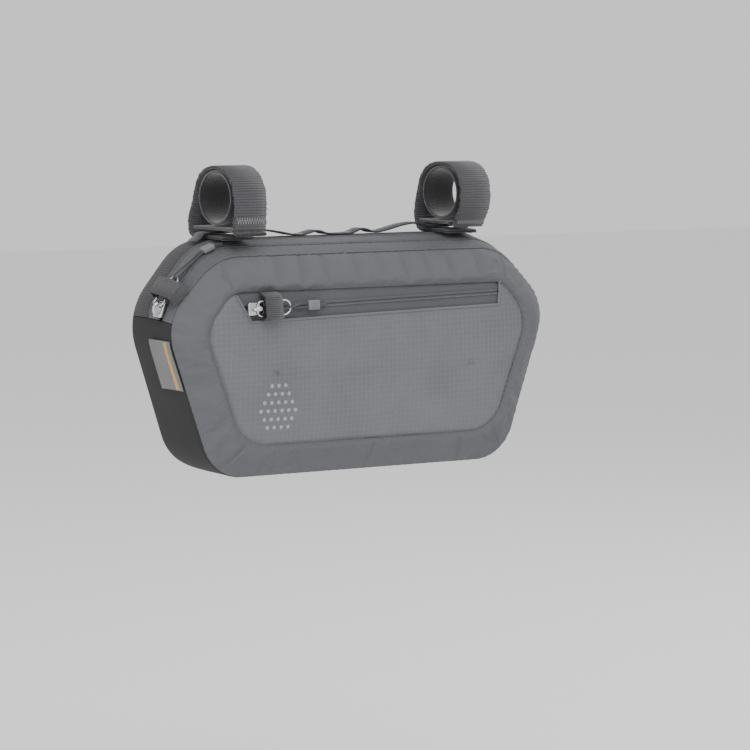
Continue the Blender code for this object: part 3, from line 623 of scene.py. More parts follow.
def block(name: str, matrix: Matrix, size: Vector, rounding: float) -> bpy.types.Object:
    """A rounded block.

    Args:
        name: the piece's name.
        matrix: its place, by its middle.
        size: its length, width and thickness.
        rounding: the radius of its edges.

    Returns:
        The object.
    """
    shape = bmesh.new()
    bmesh.ops.create_cube(shape, size=1.0)
    bmesh.ops.scale(shape, vec=size, verts=shape.verts)
    bmesh.ops.bevel(shape, geom=shape.edges[:], offset=rounding, segments=4, affect="EDGES", profile=0.5)
    bmesh.ops.transform(shape, matrix=matrix, verts=shape.verts)
    mesh = bpy.data.meshes.new(name)
    shape.to_mesh(mesh)
    shape.free()
    soften(mesh, 30.0)
    return link(name, mesh)


class RowTree:
    """The Geometry Nodes trees that set small shapes in rows, one for each unit."""

    NUMBERS = ("Pitch", "Along", "Across", "Above", "Unevenness")

    def __init__(self) -> None:
        """Start with no tree."""
        self.made: dict[Unit, bpy.types.NodeTree] = {}

    def unit(self, sketch: Sketch, kind: Unit) -> bpy.types.NodeSocket:
        """The shape that is repeated, one metre in size, its length across the row.

        Args:
            sketch: the tree's sketch.
            kind: the unit.

        Returns:
            Its geometry.
        """
        if kind is Unit.BEAD:
            ball = sketch.add("GeometryNodeMeshUVSphere")
            for label, value in (("Segments", 8), ("Rings", 5), ("Radius", 0.5)):
                ball.inputs[label].default_value = value
            return ball.outputs["Mesh"]
        rod = sketch.add("GeometryNodeMeshCylinder")
        for label, value in (("Vertices", 8), ("Radius", 0.5), ("Depth", 1.0)):
            rod.inputs[label].default_value = value
        turned = sketch.add("GeometryNodeTransform")
        sketch.feed(turned.inputs["Geometry"], rod.outputs["Mesh"])
        turned.inputs["Rotation"].default_value = (math.pi / 2, 0.0, 0.0)
        return turned.outputs["Geometry"]

    def tree(self, kind: Unit) -> bpy.types.NodeTree:
        """The tree for one unit.

        Args:
            kind: the unit.

        Returns:
            The tree.
        """
        if kind in self.made:
            return self.made[kind]
        tree = bpy.data.node_groups.new("row_of_" + kind.value, "GeometryNodeTree")
        face = tree.interface
        face.new_socket("Geometry", in_out="INPUT", socket_type="NodeSocketGeometry")
        for label in self.NUMBERS:
            face.new_socket(label, in_out="INPUT", socket_type="NodeSocketFloat")
        face.new_socket("Seed", in_out="INPUT", socket_type="NodeSocketInt")
        face.new_socket("Material", in_out="INPUT", socket_type="NodeSocketMaterial")
        face.new_socket("Geometry", in_out="OUTPUT", socket_type="NodeSocketGeometry")
        sketch = Sketch(tree)
        given = sketch.add("NodeGroupInput").outputs
        curve = sketch.add("GeometryNodeMeshToCurve")
        sketch.feed(curve.inputs["Mesh"], given["Geometry"])
        spaced = sketch.add("GeometryNodeResampleCurve", mode="LENGTH")
        sketch.feed(spaced.inputs["Curve"], curve.outputs["Curve"])
        sketch.feed(spaced.inputs["Length"], given["Pitch"])
        facing = sketch.add("GeometryNodeInputNamedAttribute", data_type="FLOAT_VECTOR")
        facing.inputs["Name"].default_value = "facing"
        ahead = sketch.add("GeometryNodeInputTangent")
        turn = sketch.add("FunctionNodeAxesToRotation", primary_axis="Z", secondary_axis="X")
        sketch.feed(turn.inputs[0], facing.outputs["Attribute"])
        sketch.feed(turn.inputs[1], ahead.outputs["Tangent"])
        size = sketch.add("ShaderNodeCombineXYZ")
        for index, label in enumerate(("Along", "Across", "Above")):
            sketch.feed(size.inputs[index], given[label])
        chance = sketch.add("FunctionNodeRandomValue", data_type="FLOAT_VECTOR")
        sketch.feed(chance.inputs[0], sketch.math("SUBTRACT", 1.0, given["Unevenness"]))
        sketch.feed(chance.inputs[1], sketch.math("ADD", 1.0, given["Unevenness"]))
        sketch.feed(chance.inputs["Seed"], given["Seed"])
        varied = sketch.add("ShaderNodeVectorMath", operation="MULTIPLY")
        sketch.feed(varied.inputs[0], size.outputs[0])
        sketch.feed(varied.inputs[1], chance.outputs[0])
        placed = sketch.add("GeometryNodeInstanceOnPoints")
        sketch.feed(placed.inputs["Points"], spaced.outputs["Curve"])
        sketch.feed(placed.inputs["Instance"], self.unit(sketch, kind))
        sketch.feed(placed.inputs["Rotation"], turn.outputs[0])
        sketch.feed(placed.inputs["Scale"], varied.outputs[0])
        real = sketch.add("GeometryNodeRealizeInstances")
        sketch.feed(real.inputs["Geometry"], placed.outputs["Instances"])
        dressed = sketch.add("GeometryNodeSetMaterial")
        sketch.feed(dressed.inputs["Geometry"], real.outputs["Geometry"])
        sketch.feed(dressed.inputs["Material"], given["Material"])
        sketch.feed(sketch.add("NodeGroupOutput").inputs["Geometry"], dressed.outputs["Geometry"])
        self.made[kind] = tree
        return tree


ROW_TREES = RowTree()


@dataclass
class Row:
    """Rows of small like shapes along paths on a surface; sizes in metres."""

    name: str
    unit: Unit
    pitch: float
    along: float
    across: float
    above: float
    finish: Finish
    slot: str
    unevenness: float = 0.08
    seed: int = 7

    def build(self, paths: Sequence[Sequence[Spot]], *stands_for: str) -> bpy.types.Object:
        """Set the shapes along the paths and keep them as one plain mesh.

        Args:
            paths: the paths, each a list of spots.
            stands_for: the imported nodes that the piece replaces.

        Returns:
            The piece.
        """
        points = [spot.point for path in paths for spot in path]
        edges = []
        start = 0
        for path in paths:
            edges += [(start + index, start + index + 1) for index in range(len(path) - 1)]
            start += len(path)
        mesh = bpy.data.meshes.new(self.name)
        mesh.from_pydata([tuple(point) for point in points], edges, [])
        facing = mesh.attributes.new("facing", "FLOAT_VECTOR", "POINT")
        facing.data.foreach_set("vector", [c for path in paths for spot in path for c in spot.facing])
        item = link(self.name, mesh)
        tree = ROW_TREES.tree(self.unit)
        names = {entry.name: entry.identifier for entry in tree.interface.items_tree
                 if entry.in_out == "INPUT"}
        rows = item.modifiers.new("rows", "NODES")
        rows.node_group = tree
        values = {"Pitch": self.pitch, "Along": self.along, "Across": self.across, "Above": self.above,
                  "Unevenness": self.unevenness, "Seed": self.seed, "Material": self.finish.make()}
        for label, value in values.items():
            rows[names[label]] = value
        settle_modifiers(item)
        item.data.shade_smooth()
        return hand_over(item, self.finish, self.slot, *stands_for)


class Section(NamedTuple):
    """Corners and rounding of half a section; x in shares of half the width, z of the height."""

    y: float
    corner_x: float
    top: float
    side_x: float
    side: float
    foot_x: float
    bottom: float
    corner_round: float
    side_round: float
    foot_round: float


class Leg(NamedTuple):
    """A straight or round stretch of an outline, in x and z."""

    start: Vector
    end: Vector
    centre: Vector | None
    turn: float

    def length(self) -> float:
        """Length of the stretch."""
        if self.centre is None:
            return (self.end - self.start).length
        return (self.start - self.centre).length * self.turn

    def spot(self, share: float) -> tuple[Vector, Vector]:
        """Point and outward direction at a share of the stretch.

        Args:
            share: from 0 to 1.

        Returns:
            The point and the direction.
        """
        if self.centre is None:
            along = (self.end - self.start).normalized()
            return self.start.lerp(self.end, share), Vector((-along.y, along.x))
        arm = Matrix.Rotation(-self.turn * share, 2) @ (self.start - self.centre)
        return self.centre + arm, arm.normalized()


class BandRow(NamedTuple):
    """One line along a band of cloth: its share across, its swell and which way it faces."""

    share: float
    swell: float
    lean: float


class Fold(NamedTuple):
    """A crease across the ring: place round the bag, half-width and depth in shares."""

    place: float
    width: float
    depth: float


FRONT = Section(-0.0300, 0.731, 0.206, 0.867, 0.366, 0.675, 0.858, 0.121, 0.160, 0.182)
RIM = Section(-0.0200, 0.761, 0.059, 1.0345, 0.322, 0.789, 0.999, 0.266, 0.220, 0.205)
BACK = Section(0.0250, 0.763, 0.000, 1.0300, 0.310, 0.800, 0.985, 0.250, 0.270, 0.212)
RING_ROWS = (
    BandRow(0.00, 0.00, 15.0),
    BandRow(0.05, 0.55, 22.0),
    BandRow(0.13, 0.92, 26.0),
    BandRow(0.32, 1.00, 27.0),
    BandRow(0.60, 0.80, 33.0),
    BandRow(0.83, 0.40, 46.0),
    BandRow(1.00, 0.00, 58.0),
)
GUSSET_ROWS = (
    BandRow(0.00, 0.00, 58.0),
    BandRow(0.12, 0.40, 73.0),
    BandRow(0.27, 0.75, 82.0),
    BandRow(0.42, 0.95, 87.0),
    BandRow(0.56, 1.00, 90.0),
    BandRow(0.78, 0.80, 92.0),
    BandRow(0.93, 0.30, 108.0),
    BandRow(1.00, 0.00, 135.0),
)
FOLDS = (
    Fold(-0.180, 0.010, 0.75), Fold(-0.131, 0.009, 0.90), Fold(-0.087, 0.010, 1.00),
    Fold(-0.022, 0.010, 0.85), Fold(0.028, 0.009, 0.60), Fold(0.078, 0.008, 0.70),
    Fold(0.123, 0.009, 0.55), Fold(0.170, 0.009, 0.90), Fold(0.226, 0.010, 0.85),
    Fold(-0.395, 0.014, 0.60), Fold(-0.545, 0.018, 0.70), Fold(-0.640, 0.016, 0.95),
    Fold(0.355, 0.012, 0.60), Fold(0.470, 0.016, 0.50), Fold(0.610, 0.018, 0.70),
    Fold(0.795, 0.012, 0.60), Fold(0.900, 0.016, 0.45), Fold(-0.860, 0.016, 0.45),
)


@dataclass
class BagForm:
    """The form that every cloth piece follows: sections lofted from front seam to back seam."""

    width: float = 0.2490
    height: float = 0.1315
    drop: float = 0.0240
    ring_puff: float = 0.0030
    gusset_puff: float = 0.0009
    top_ease: float = 2.7
    fold_depth: float = 0.0012
    legs: dict[Section, list[Leg]] = field(default_factory=dict)
    knots: list[float] = field(default_factory=list)
    known: dict[tuple[float, float], tuple[Vector, Vector]] = field(default_factory=dict)

    def __post_init__(self) -> None:
        """Work out the outlines and where their stretches meet."""
        self.legs = {section: self.half_legs(section) for section in (FRONT, RIM, BACK)}
        self.half_girth = sum(leg.length() for leg in self.legs[RIM])
        self.knots = [0.0]
        for leg in self.legs[RIM]:
            self.knots.append(self.knots[-1] + leg.length() / self.half_girth)
        self.knots[-1] = 1.0
        self.corner_seam = (self.knots[1] + self.knots[2]) / 2
        self.foot_seam = (self.knots[5] + self.knots[6]) / 2
        self.zip_end = (self.knots[3] + self.knots[4]) / 2

    def half_legs(self, section: Section) -> list[Leg]:
        """The stretches of the +X half of a section, from its top's middle to its base's.

        Args:
            section: the section.

        Returns:
            Its seven stretches.
        """
        half = self.width / 2
        top, side, bottom = (-self.drop - share * self.height
                             for share in (section.top, section.side, section.bottom))
        corners = [Vector((0.0, top)), Vector((section.corner_x * half, top)),
                   Vector((section.side_x * half, side)), Vector((section.foot_x * half, bottom)),
                   Vector((0.0, bottom))]
        legs = []
        start = corners[0]
        for index, rounding in enumerate((section.corner_round, section.side_round, section.foot_round), 1):
            corner = corners[index]
            before = (corners[index - 1] - corner).normalized()
            after = (corners[index + 1] - corner).normalized()
            half_turn = (math.pi - before.angle(after)) / 2
            radius = rounding * self.height
            reach = radius * math.tan(half_turn)
            centre = corner + (before + after).normalized() * radius / math.cos(half_turn)
            legs.append(Leg(start, corner + before * reach, None, 0.0))
            legs.append(Leg(corner + before * reach, corner + after * reach, centre, 2 * half_turn))
            start = corner + after * reach
        legs.append(Leg(start, corners[-1], None, 0.0))
        return legs

    def outline(self, section: Section, place: float) -> tuple[Vector, Vector]:
        """Point and outward direction at a share of half the girth.

        Args:
            section: the section.
            place: from -1 to 1, negative on the -X half; above 1 it goes on round.

        Returns:
            The point and the direction, in x and z.
        """
        key = (section.y, place)
        if key not in self.known:
            turned = place - 2.0 if place > 1.0 else place
            size = min(abs(turned), 1.0)
            index = max(i for i in range(7) if self.knots[i] <= size)
            share = (size - self.knots[index]) / (self.knots[index + 1] - self.knots[index])
            point, facing = self.legs[section][index].spot(share)
            side = -1.0 if turned < 0 else 1.0
            self.known[key] = (Vector((side * point.x, point.y)), Vector((side * facing.x, facing.y)))
        return self.known[key]

    @staticmethod
    def row_at(rows: Sequence[BandRow], share: float) -> BandRow:
        """The band row at any share across, on a smooth curve through its table.

        Args:
            rows: the table.
            share: the share across.

        Returns:
            The row.
        """
        index = next((i for i in range(len(rows) - 1) if share <= rows[i + 1].share), len(rows) - 2)
        low, high = rows[index], rows[index + 1]
        before, after = rows[max(index - 1, 0)], rows[min(index + 2, len(rows) - 1)]
        span = high.share - low.share
        t = min(max((share - low.share) / span, 0.0), 1.0)
        values = [share]
        for k in (1, 2):
            slope_low = (high[k] - before[k]) / (high.share - before.share) * span
            slope_high = (after[k] - low[k]) / (after.share - low.share) * span
            a = 2 * t ** 3 - 3 * t ** 2 + 1
            b = t ** 3 - 2 * t ** 2 + t
            values.append(a * low[k] + b * slope_low + (1 - a) * high[k] + (t ** 3 - t ** 2) * slope_high)
        return BandRow(*values)

    def band(self, ends: tuple[Section, Section], rows: Sequence[BandRow], swell: float, share: float,
             place: float, ease: float = 1.0) -> Spot:
        """Outer spot of a band that is lofted between two sections.

        Args:
            ends: the two sections.
            rows: the band's table.
            swell: how far the band swells.
            share: the share across.
            place: the place round the bag.
            ease: how quickly the outline leaves the first section.

        Returns:
            The spot.
        """
        row = self.row_at(rows, share)
        first, first_facing = self.outline(ends[0], place)
        last, last_facing = self.outline(ends[1], place)
        mix = 1.0 - (1.0 - min(max(share, 0.0), 1.0)) ** ease
        flat = first.lerp(last, mix)
        facing = first_facing.lerp(last_facing, mix).normalized()
        lean = math.radians(row.lean)
        outward = Vector((facing.x * math.sin(lean), -math.cos(lean), facing.y * math.sin(lean)))
        depth = ends[0].y + (ends[1].y - ends[0].y) * share
        return Spot(Vector((flat.x, depth, flat.y)) + outward * row.swell * swell, outward)

    def ring_spot(self, share: float, place: float) -> Spot:
        """Spot on the smooth ring round the front panel, from the front seam to the rim seam."""
        return self.band((FRONT, RIM), RING_ROWS, self.ring_puff, share, place)

    def gusset_spot(self, share: float, place: float) -> Spot:
        """Spot on the gusset, from the rim seam to the back seam."""
        return self.band((RIM, BACK), GUSSET_ROWS, self.gusset_puff, share, place, self.top_ease)

    def gusset_top(self) -> float:
        """Height of the highest line along the top of the gusset."""
        return max(self.gusset_spot(row.share, 0.0).point.z for row in GUSSET_ROWS)

    def fold(self, place: float, share: float) -> float:
        """How far the ring's creases move its cloth out, below nought where they push it in.

        Args:
            place: the place round the bag.
            share: the share across the ring.

        Returns:
            The distance.
        """
        turned = place - 2.0 if place > 1.0 else place
        fade = math.sin(math.pi * min(max(share, 0.0), 1.0)) ** 0.6
        total = 0.0
        for fold in FOLDS:
            off = (turned - fold.place) / fold.width
            if abs(off) < 8.0:
                crease = math.exp(-(off ** 2)) - 0.42 * math.exp(-(((off + 2.3) / 1.5) ** 2))
                total -= fold.depth * (crease - 0.25 * math.exp(-(((off - 2.4) / 1.7) ** 2)))
        return total * fade * self.fold_depth


FORM = BagForm()


def even_steps(start: float, end: float, count: int) -> list[float]:
    """Evenly spaced values, both ends included.

    Args:
        start: the first value.
        end: the last value.
        count: how many steps lie between them.

    Returns:
        The values.
    """
    return [start + (end - start) * index / count for index in range(count + 1)]


def wrinkle(point: Vector, size: float, depth: float) -> float:
    """A gentle unevenness of cloth at a point.

    Args:
        point: the point.
        size: how far apart its swells lie.
        depth: its greatest height.

    Returns:
        The distance to move out.
    """
    broad = noise.noise(point / size)
    fine = noise.noise(point * 2.3 / size + Vector((7.1, 3.3, 1.7)))
    return (broad + 0.4 * fine) * depth


@dataclass
class ClothBath:
    """A short cloth simulation that lets a pinned piece of cloth find its own swells."""

    frames: int = 14
    pressure: float = 1.2
    growth: float = 0.025
    bending: float = 0.25
    cap: float = 0.0011

    def run(self, item: bpy.types.Object, pinned: Sequence[int]) -> None:
        """Simulate an open sheet and keep the result, each point moved by at most the cap.

        Args:
            item: the sheet.
            pinned: indices of its sewn points.
        """
        start = [vertex.co.copy() for vertex in item.data.vertices]
        sewn = item.vertex_groups.new(name="sewn")
        sewn.add(list(pinned), 1.0, "REPLACE")
        cloth = item.modifiers.new("cloth", "CLOTH")
        cloth.settings.quality = 5
        cloth.settings.mass = 0.15
        cloth.settings.tension_stiffness = 20.0
        cloth.settings.compression_stiffness = 20.0
        cloth.settings.shear_stiffness = 8.0
        cloth.settings.bending_stiffness = self.bending
        cloth.settings.vertex_group_mass = "sewn"
        cloth.settings.use_pressure = True
        cloth.settings.uniform_pressure_force = self.pressure
        cloth.settings.shrink_min = -self.growth
        cloth.settings.effector_weights.gravity = 0.0
        cloth.collision_settings.use_collision = False
        cloth.point_cache.frame_start = 1
        cloth.point_cache.frame_end = self.frames
        for number in range(1, self.frames + 1):
            bpy.context.scene.frame_set(number)
        evaluated = item.evaluated_get(bpy.context.evaluated_depsgraph_get())
        moved = [vertex.co.copy() for vertex in evaluated.data.vertices]
        item.modifiers.clear()
        item.vertex_groups.clear()
        bpy.context.scene.frame_set(1)
        for vertex, old, new in zip(item.data.vertices, start, moved):
            step = new - old
            if step.length > self.cap:
                step = step.normalized() * self.cap
            vertex.co = old + step
        item.data.update()


@dataclass
class ClothPatch:
    """A piece of cloth laid on a surface as a grid, sewn along its edges; sizes in metres."""

    name: str
    surface: Callable[[float, float], Spot]
    shares: Sequence[float]
    places: Sequence[float]
    width: float
    wall: float
    tuck: float = 0.0006
    tuck_reach: float = 0.0016
    lift: float = 0.0
    ripple: float = 0.00015
    gather: float = 0.00010
    bath: ClothBath | None = None
    relief: Callable[[float, float], float] | None = None

    def edge_distance(self, share: float, place: float) -> float:
        """Distance to the nearest sewn edge.

        Args:
            share: the share across.
            place: the place along.

        Returns:
            The distance, in metres.
        """
        across = min(share - self.shares[0], self.shares[-1] - share) * self.width
        along = min(place - self.places[0], self.places[-1] - place) * FORM.half_girth
        return min(across, along)

    def point(self, share: float, place: float) -> Spot:
        """Where one point of the cloth lies.

        Args:
            share: the share across.
            place: the place along.

        Returns:
            The spot.
        """
        spot = self.surface(share, place)
        edge = self.edge_distance(share, place)
        out = self.lift - self.tuck * math.exp(-((edge / self.tuck_reach) ** 2))
        out += wrinkle(spot.point, 0.020, self.ripple) * min(1.0, edge / 0.004)
        turns = place * FORM.half_girth / 0.0046 + 0.6 * noise.noise(spot.point * 90.0)
        out += self.gather * math.sin(math.tau * turns) * math.exp(-edge / 0.0030)
        if self.relief:
            out += self.relief(place, share)
        return Spot(spot.point + spot.facing * out, spot.facing)

    def build(self) -> bpy.types.Object:
        """Make the cloth: an open sheet, simulated where it has a bath, then given its wall.

        Returns:
            The object.
        """
        grid = [[self.point(share, place) for place in self.places] for share in self.shares]
        columns = len(self.places)
        points = [spot.point for row in grid for spot in row]
        faces = []
        for r in range(len(self.shares) - 1):
            for c in range(columns - 1):
                corner = r * columns + c
                faces.append((corner, corner + 1, corner + columns + 1, corner + columns))
        mesh = bpy.data.meshes.new(self.name)
        mesh.from_pydata([tuple(point) for point in points], [], faces)
        middle = mesh.polygons[len(faces) // 2]
        r, c = divmod(len(faces) // 2, columns - 1)
        if middle.normal.dot(grid[r][c].facing) < 0:
            mesh.flip_normals()
        chart = mesh.uv_layers.new(name="UVMap")
        for loop in mesh.loops:
            r, c = divmod(loop.vertex_index, columns)
            chart.data[loop.index].uv = (self.places[c] * FORM.half_girth, self.shares[r] * self.width)
        mesh.shade_smooth()
        item = link(self.name, mesh)
        if self.bath:
            rows = len(self.shares)
            sewn = [r * columns + c for r in range(rows) for c in range(columns)
                    if r in (0, rows - 1) or c in (0, columns - 1)]
            self.bath.run(item, sewn)
        wall = item.modifiers.new("wall", "SOLIDIFY")
        wall.thickness = self.wall
        wall.offset = -1.0
        settle_modifiers(item)
        soften(item.data, 50.0)
        return item


class Bench(NamedTuple):
    """A surface to seat small pieces on: spot(along, across, above) is a world point."""

    spot: Callable[[float, float, float], Vector]

    def frame(self, along: float, across: float, above: float) -> Matrix:
        """World matrix whose axes run along, across and out of the bag there.

        Args:
            along: distance along the bench.
            across: distance across it.
            above: distance over it.

        Returns:
            The matrix.
        """
        step = 1e-4
        origin = self.spot(along, across, above)
        forward = (self.spot(along + step, across, above) - origin).normalized()
        outward = (self.spot(along, across, above + step) - origin).normalized()
        sideways = outward.cross(forward).normalized()
        turned = Matrix((forward, sideways, forward.cross(sideways))).transposed()
        return Matrix.Translation(origin) @ turned.to_4x4()

    def station(self, along: float, across: float = 0.0, above: float = 0.0) -> Station:
        """A station for a sweep that runs along the bench.

        Args:
            along: distance along the bench.
            across: distance across it.
            above: distance over it.

        Returns:
            The station.
        """
        matrix = self.frame(along, across, above)
        return Station(matrix.translation, matrix.col[1].to_3d(), matrix.col[2].to_3d())

    def path(self, alongs: Sequence[float], across: float, above: float) -> list[Spot]:
        """Spots along the bench for a row.

        Args:
            alongs: distances along it.
            across: distance across it.
            above: distance over it.

        Returns:
            The spots.
        """
        stations = [self.station(along, across, above) for along in alongs]
        return [Spot(station.point, station.out) for station in stations]


@dataclass
class FrontPanel:
    """Front panel of ripstop cloth, with the pocket zip's tapes let into its upper edge."""

    crown: float = 0.0036
    wall: float = 0.0018
    tape_wall: float = 0.0012
    recess: float = 0.0008
    spine_share: float = 0.62
    spine_height: float = 0.56
    zip_left: float = -0.0845
    zip_right: float = 0.0872
    chain_left: float = -0.0603
    chain_right: float = -0.0568
    tape_height: float = 0.0158
    tape_below: float = 0.0073
    coil_width: float = 0.0034
    columns: int = 300
    rings: tuple[float, ...] = (1.0, 0.994, 0.985, 0.972, 0.955, 0.935, 0.91, 0.88, 0.84, 0.80, 0.755,
                                0.71, 0.66, 0.60, 0.54, 0.48, 0.41, 0.34, 0.27, 0.20, 0.13, 0.06, 0.02)

    def chain_height(self, x: float) -> float:
        """Height of the pocket zip's chain at x."""
        share = (x - self.zip_left) / (self.zip_right - self.zip_left)
        return self.chain_left + (self.chain_right - self.chain_left) * share

    def blank(self, section: Section, direction: float, crown: float) -> bmesh.types.BMesh:
        """The whole crowned panel as an open sheet that faces out.

        Args:
            section: the seam that it fills.
            direction: -1 for the front, 1 for the back.
            crown: how far its middle stands proud.

        Returns:
            The sheet.
        """
        shape = bmesh.new()
        spine_z = -FORM.drop - self.spine_height * FORM.height
        loops = []
        for ring in self.rings:
            loop = []
            for place in even_steps(-1.0, 1.0, self.columns)[:-1]:
                edge, facing = FORM.outline(section, place)
                trimmed = edge - facing * 0.1 * MM
                flat = Vector((trimmed.x * self.spine_share, spine_z)).lerp(trimmed, ring)
                rise = crown * (1.0 - ring ** 3.0)
                border = (1.0 - ring) * 0.055
                rise -= 0.6 * MM * math.exp(-((border / 0.0016) ** 2))
                rise += wrinkle(Vector((flat.x, 0.0, flat.y)), 0.030, 0.00022) * min(1.0, border / 0.004)
                loop.append(shape.verts.new((flat.x, section.y + direction * rise, flat.y)))
            loops.append(loop)
        for low, high in zip(loops, loops[1:]):
            for c in range(self.columns):
                n = (c + 1) % self.columns
                shape.faces.new((low[c], low[n], high[n], high[c]))
        shape.faces.new(loops[-1])
        shape.normal_update()
        middle = shape.faces[:][len(shape.faces) // 2]
        if middle.normal.y * direction < 0:
            bmesh.ops.reverse_faces(shape, faces=shape.faces)
        return shape

    def piece(self, name: str, source: bmesh.types.BMesh, keep: Callable[[float, float], bool],
              wall: float, sink: Callable[[float, float], float] | None = None) -> bpy.types.Object:
        """Part of a sheet, as a walled piece with its UV map.

        Args:
            name: the piece's name.
            source: the whole sheet.
            keep: says of a face's middle, in x and z, whether it stays.
            wall: the cloth's thickness.
            sink: how far the cloth is set back at a place, in x and z.

        Returns:
            The object.
        """
        shape = source.copy()
        centres = [(face, face.calc_center_median()) for face in shape.faces]
        extra = [face for face, centre in centres if not keep(centre.x, centre.z)]
        bmesh.ops.delete(shape, geom=extra, context="FACES")
        chart = shape.loops.layers.uv.new("UVMap")
        for face in shape.faces:
            for loop in face.loops:
                spot = loop.vert.co
                loop[chart].uv = (spot.x, spot.z - self.chain_height(spot.x))
        if sink:
            for vert in shape.verts:
                vert.co.y += sink(vert.co.x, vert.co.z)
        mesh = bpy.data.meshes.new(name)
        shape.to_mesh(mesh)
        shape.free()
        mesh.shade_smooth()
        item = link(name, mesh)
        solid = item.modifiers.new("wall", "SOLIDIFY")
        solid.thickness = wall
        solid.offset = -1.0
        settle_modifiers(item)
        soften(item.data, 50.0)
        return item

    def in_window(self, x: float, z: float) -> bool:
        """Whether a place lies in the pocket zip's opening."""
        left = (x - self.zip_left) + 0.55 * (z - self.chain_left)
        right = (self.zip_right - x) + 0.1925 * (z - self.chain_right)
        return left > 0 and right > 0 and z > self.chain_height(x) - self.tape_below

    def build(self) -> Bench:
        """Build the panel, its tapes and its rolled edge.

        Returns:
            The bench that the pocket zip's pieces sit on.
        """
        sheet = self.blank(FRONT, -1.0, self.crown)
        slope = (self.chain_right - self.chain_left) / (self.zip_right - self.zip_left)
        half = self.coil_width / 2
        cuts = [((self.zip_left, 0.0, self.chain_left), (1.0, 0.0, 0.55)),
                ((self.zip_right, 0.0, self.chain_right), (-1.0, 0.0, 0.1925))]
        for rise in (-self.tape_below, -half, half):
            cuts.append(((self.zip_left, 0.0, self.chain_left + rise), (-slope, 0.0, 1.0)))
        for place, normal in cuts:
            geometry = sheet.verts[:] + sheet.edges[:] + sheet.faces[:]
            bmesh.ops.bisect_plane(sheet, geom=geometry, dist=1e-7, plane_co=place, plane_no=normal)
        tree = BVHTree.FromBMesh(sheet)

        def sink(x: float, z: float) -> float:
            off = abs(z - self.chain_height(x))
            return self.recess * (1.0 - 0.55 * math.exp(-((off / 0.0022) ** 2)))

        panel = self.piece("front_cloth", sheet, lambda x, z: not self.in_window(x, z), self.wall)
        hand_over(panel, RIPSTOP_CLOTH, "ripstop", "front_panel")
        upper = self.piece("pocket_tape_top", sheet, lambda x, z: self.in_window(x, z)
                           and z > self.chain_height(x) + half, self.tape_wall, sink)
        hand_over(upper, TAPE_CLOTH, "zip_tape", "pocket_tape_upper")
        lower = self.piece("pocket_tape_base", sheet, lambda x, z: self.in_window(x, z)
                           and z < self.chain_height(x) - half, self.tape_wall, sink)
        hand_over(lower, TAPE_CLOTH, "zip_tape", "pocket_tape_lower")
        sheet.free()

        def spot(along: float, across: float, above: float) -> Vector:
            x = self.zip_left + along
            z = self.chain_height(x) + across
            hit = tree.ray_cast(Vector((x, -0.08, z)), Vector((0.0, 1.0, 0.0)))[0]
            return Vector((x, hit.y if hit else FRONT.y, z)) + Vector((0.0, -above, 0.0))

        bench = Bench(spot)
        self.build_lip(bench)
        self.build_print(tree)
        return bench

    def build_lip(self, bench: Bench) -> None:
        """The turned edge of the ripstop cloth round the pocket's opening.

        Args:
            bench: the pocket's bench.
        """
        span = self.zip_right - self.zip_left
        high = self.tape_height - self.tape_below
        route = [Vector((-0.55 * rise, rise, 0.0)) for rise in even_steps(high * 0.9, -self.tape_below, 10)]
        base = even_steps(0.55 * self.tape_below, span - 0.1925 * self.tape_below, 60)
        route += [Vector((along, -self.tape_below, 0.0)) for along in base[1:-1]]
        route += [Vector((span + 0.1925 * rise, rise, 0.0))
                  for rise in even_steps(-self.tape_below, high * 0.9, 10)]
        points = [bench.spot(place.x, place.y, 0.05 * MM) for place in route]
        stations = stations_along(points, Vector((0.0, -1.0, 0.0)))
        lip = sweep("pocket_lip", stations, [(a * 0.9 + 0.1 * MM, o) for a, o in round_profile(0.75 * MM)])
        hand_over(lip, RIPSTOP_CLOTH, "ripstop")

    def build_print(self, tree: BVHTree) -> None:
        """A plain patch of printed dots on the lower left of the panel.

        Args:
            tree: the panel's surface.
        """
        rows = []
        pitch = 4.4 * MM
        for line, count in enumerate((3, 4, 5, 6, 5, 4)):
            z = -0.1035 - line * pitch * 0.87 * 1.22
            start = -0.0635 - (count - 1) * pitch / 2
            row = []
            for step in range((count - 1) * 2 + 1):
                x = start + pitch * step / 2
                hit, normal = tree.ray_cast(Vector((x, -0.08, z)), Vector((0.0, 1.0, 0.0)))[:2]
                facing = normal if normal.y < 0 else -normal
                row.append(Spot(hit + facing * 0.05 * MM, facing))
            rows.append(row)
        Row("front_print", Unit.BEAD, pitch, 2.5 * MM, 2.5 * MM, 0.12 * MM, PRINT_INK, "ripstop",
            unevenness=0.0).build(rows)

    def build_back(self) -> None:
        """The plain back panel, on the same kind of blank."""
        sheet = self.blank(BACK, 1.0, 0.0022)
        back = self.piece("back_cloth", sheet, lambda x, z: True, self.wall)
        sheet.free()
        hand_over(back, GUSSET_CLOTH, "gusset_cloth", "back_panel")


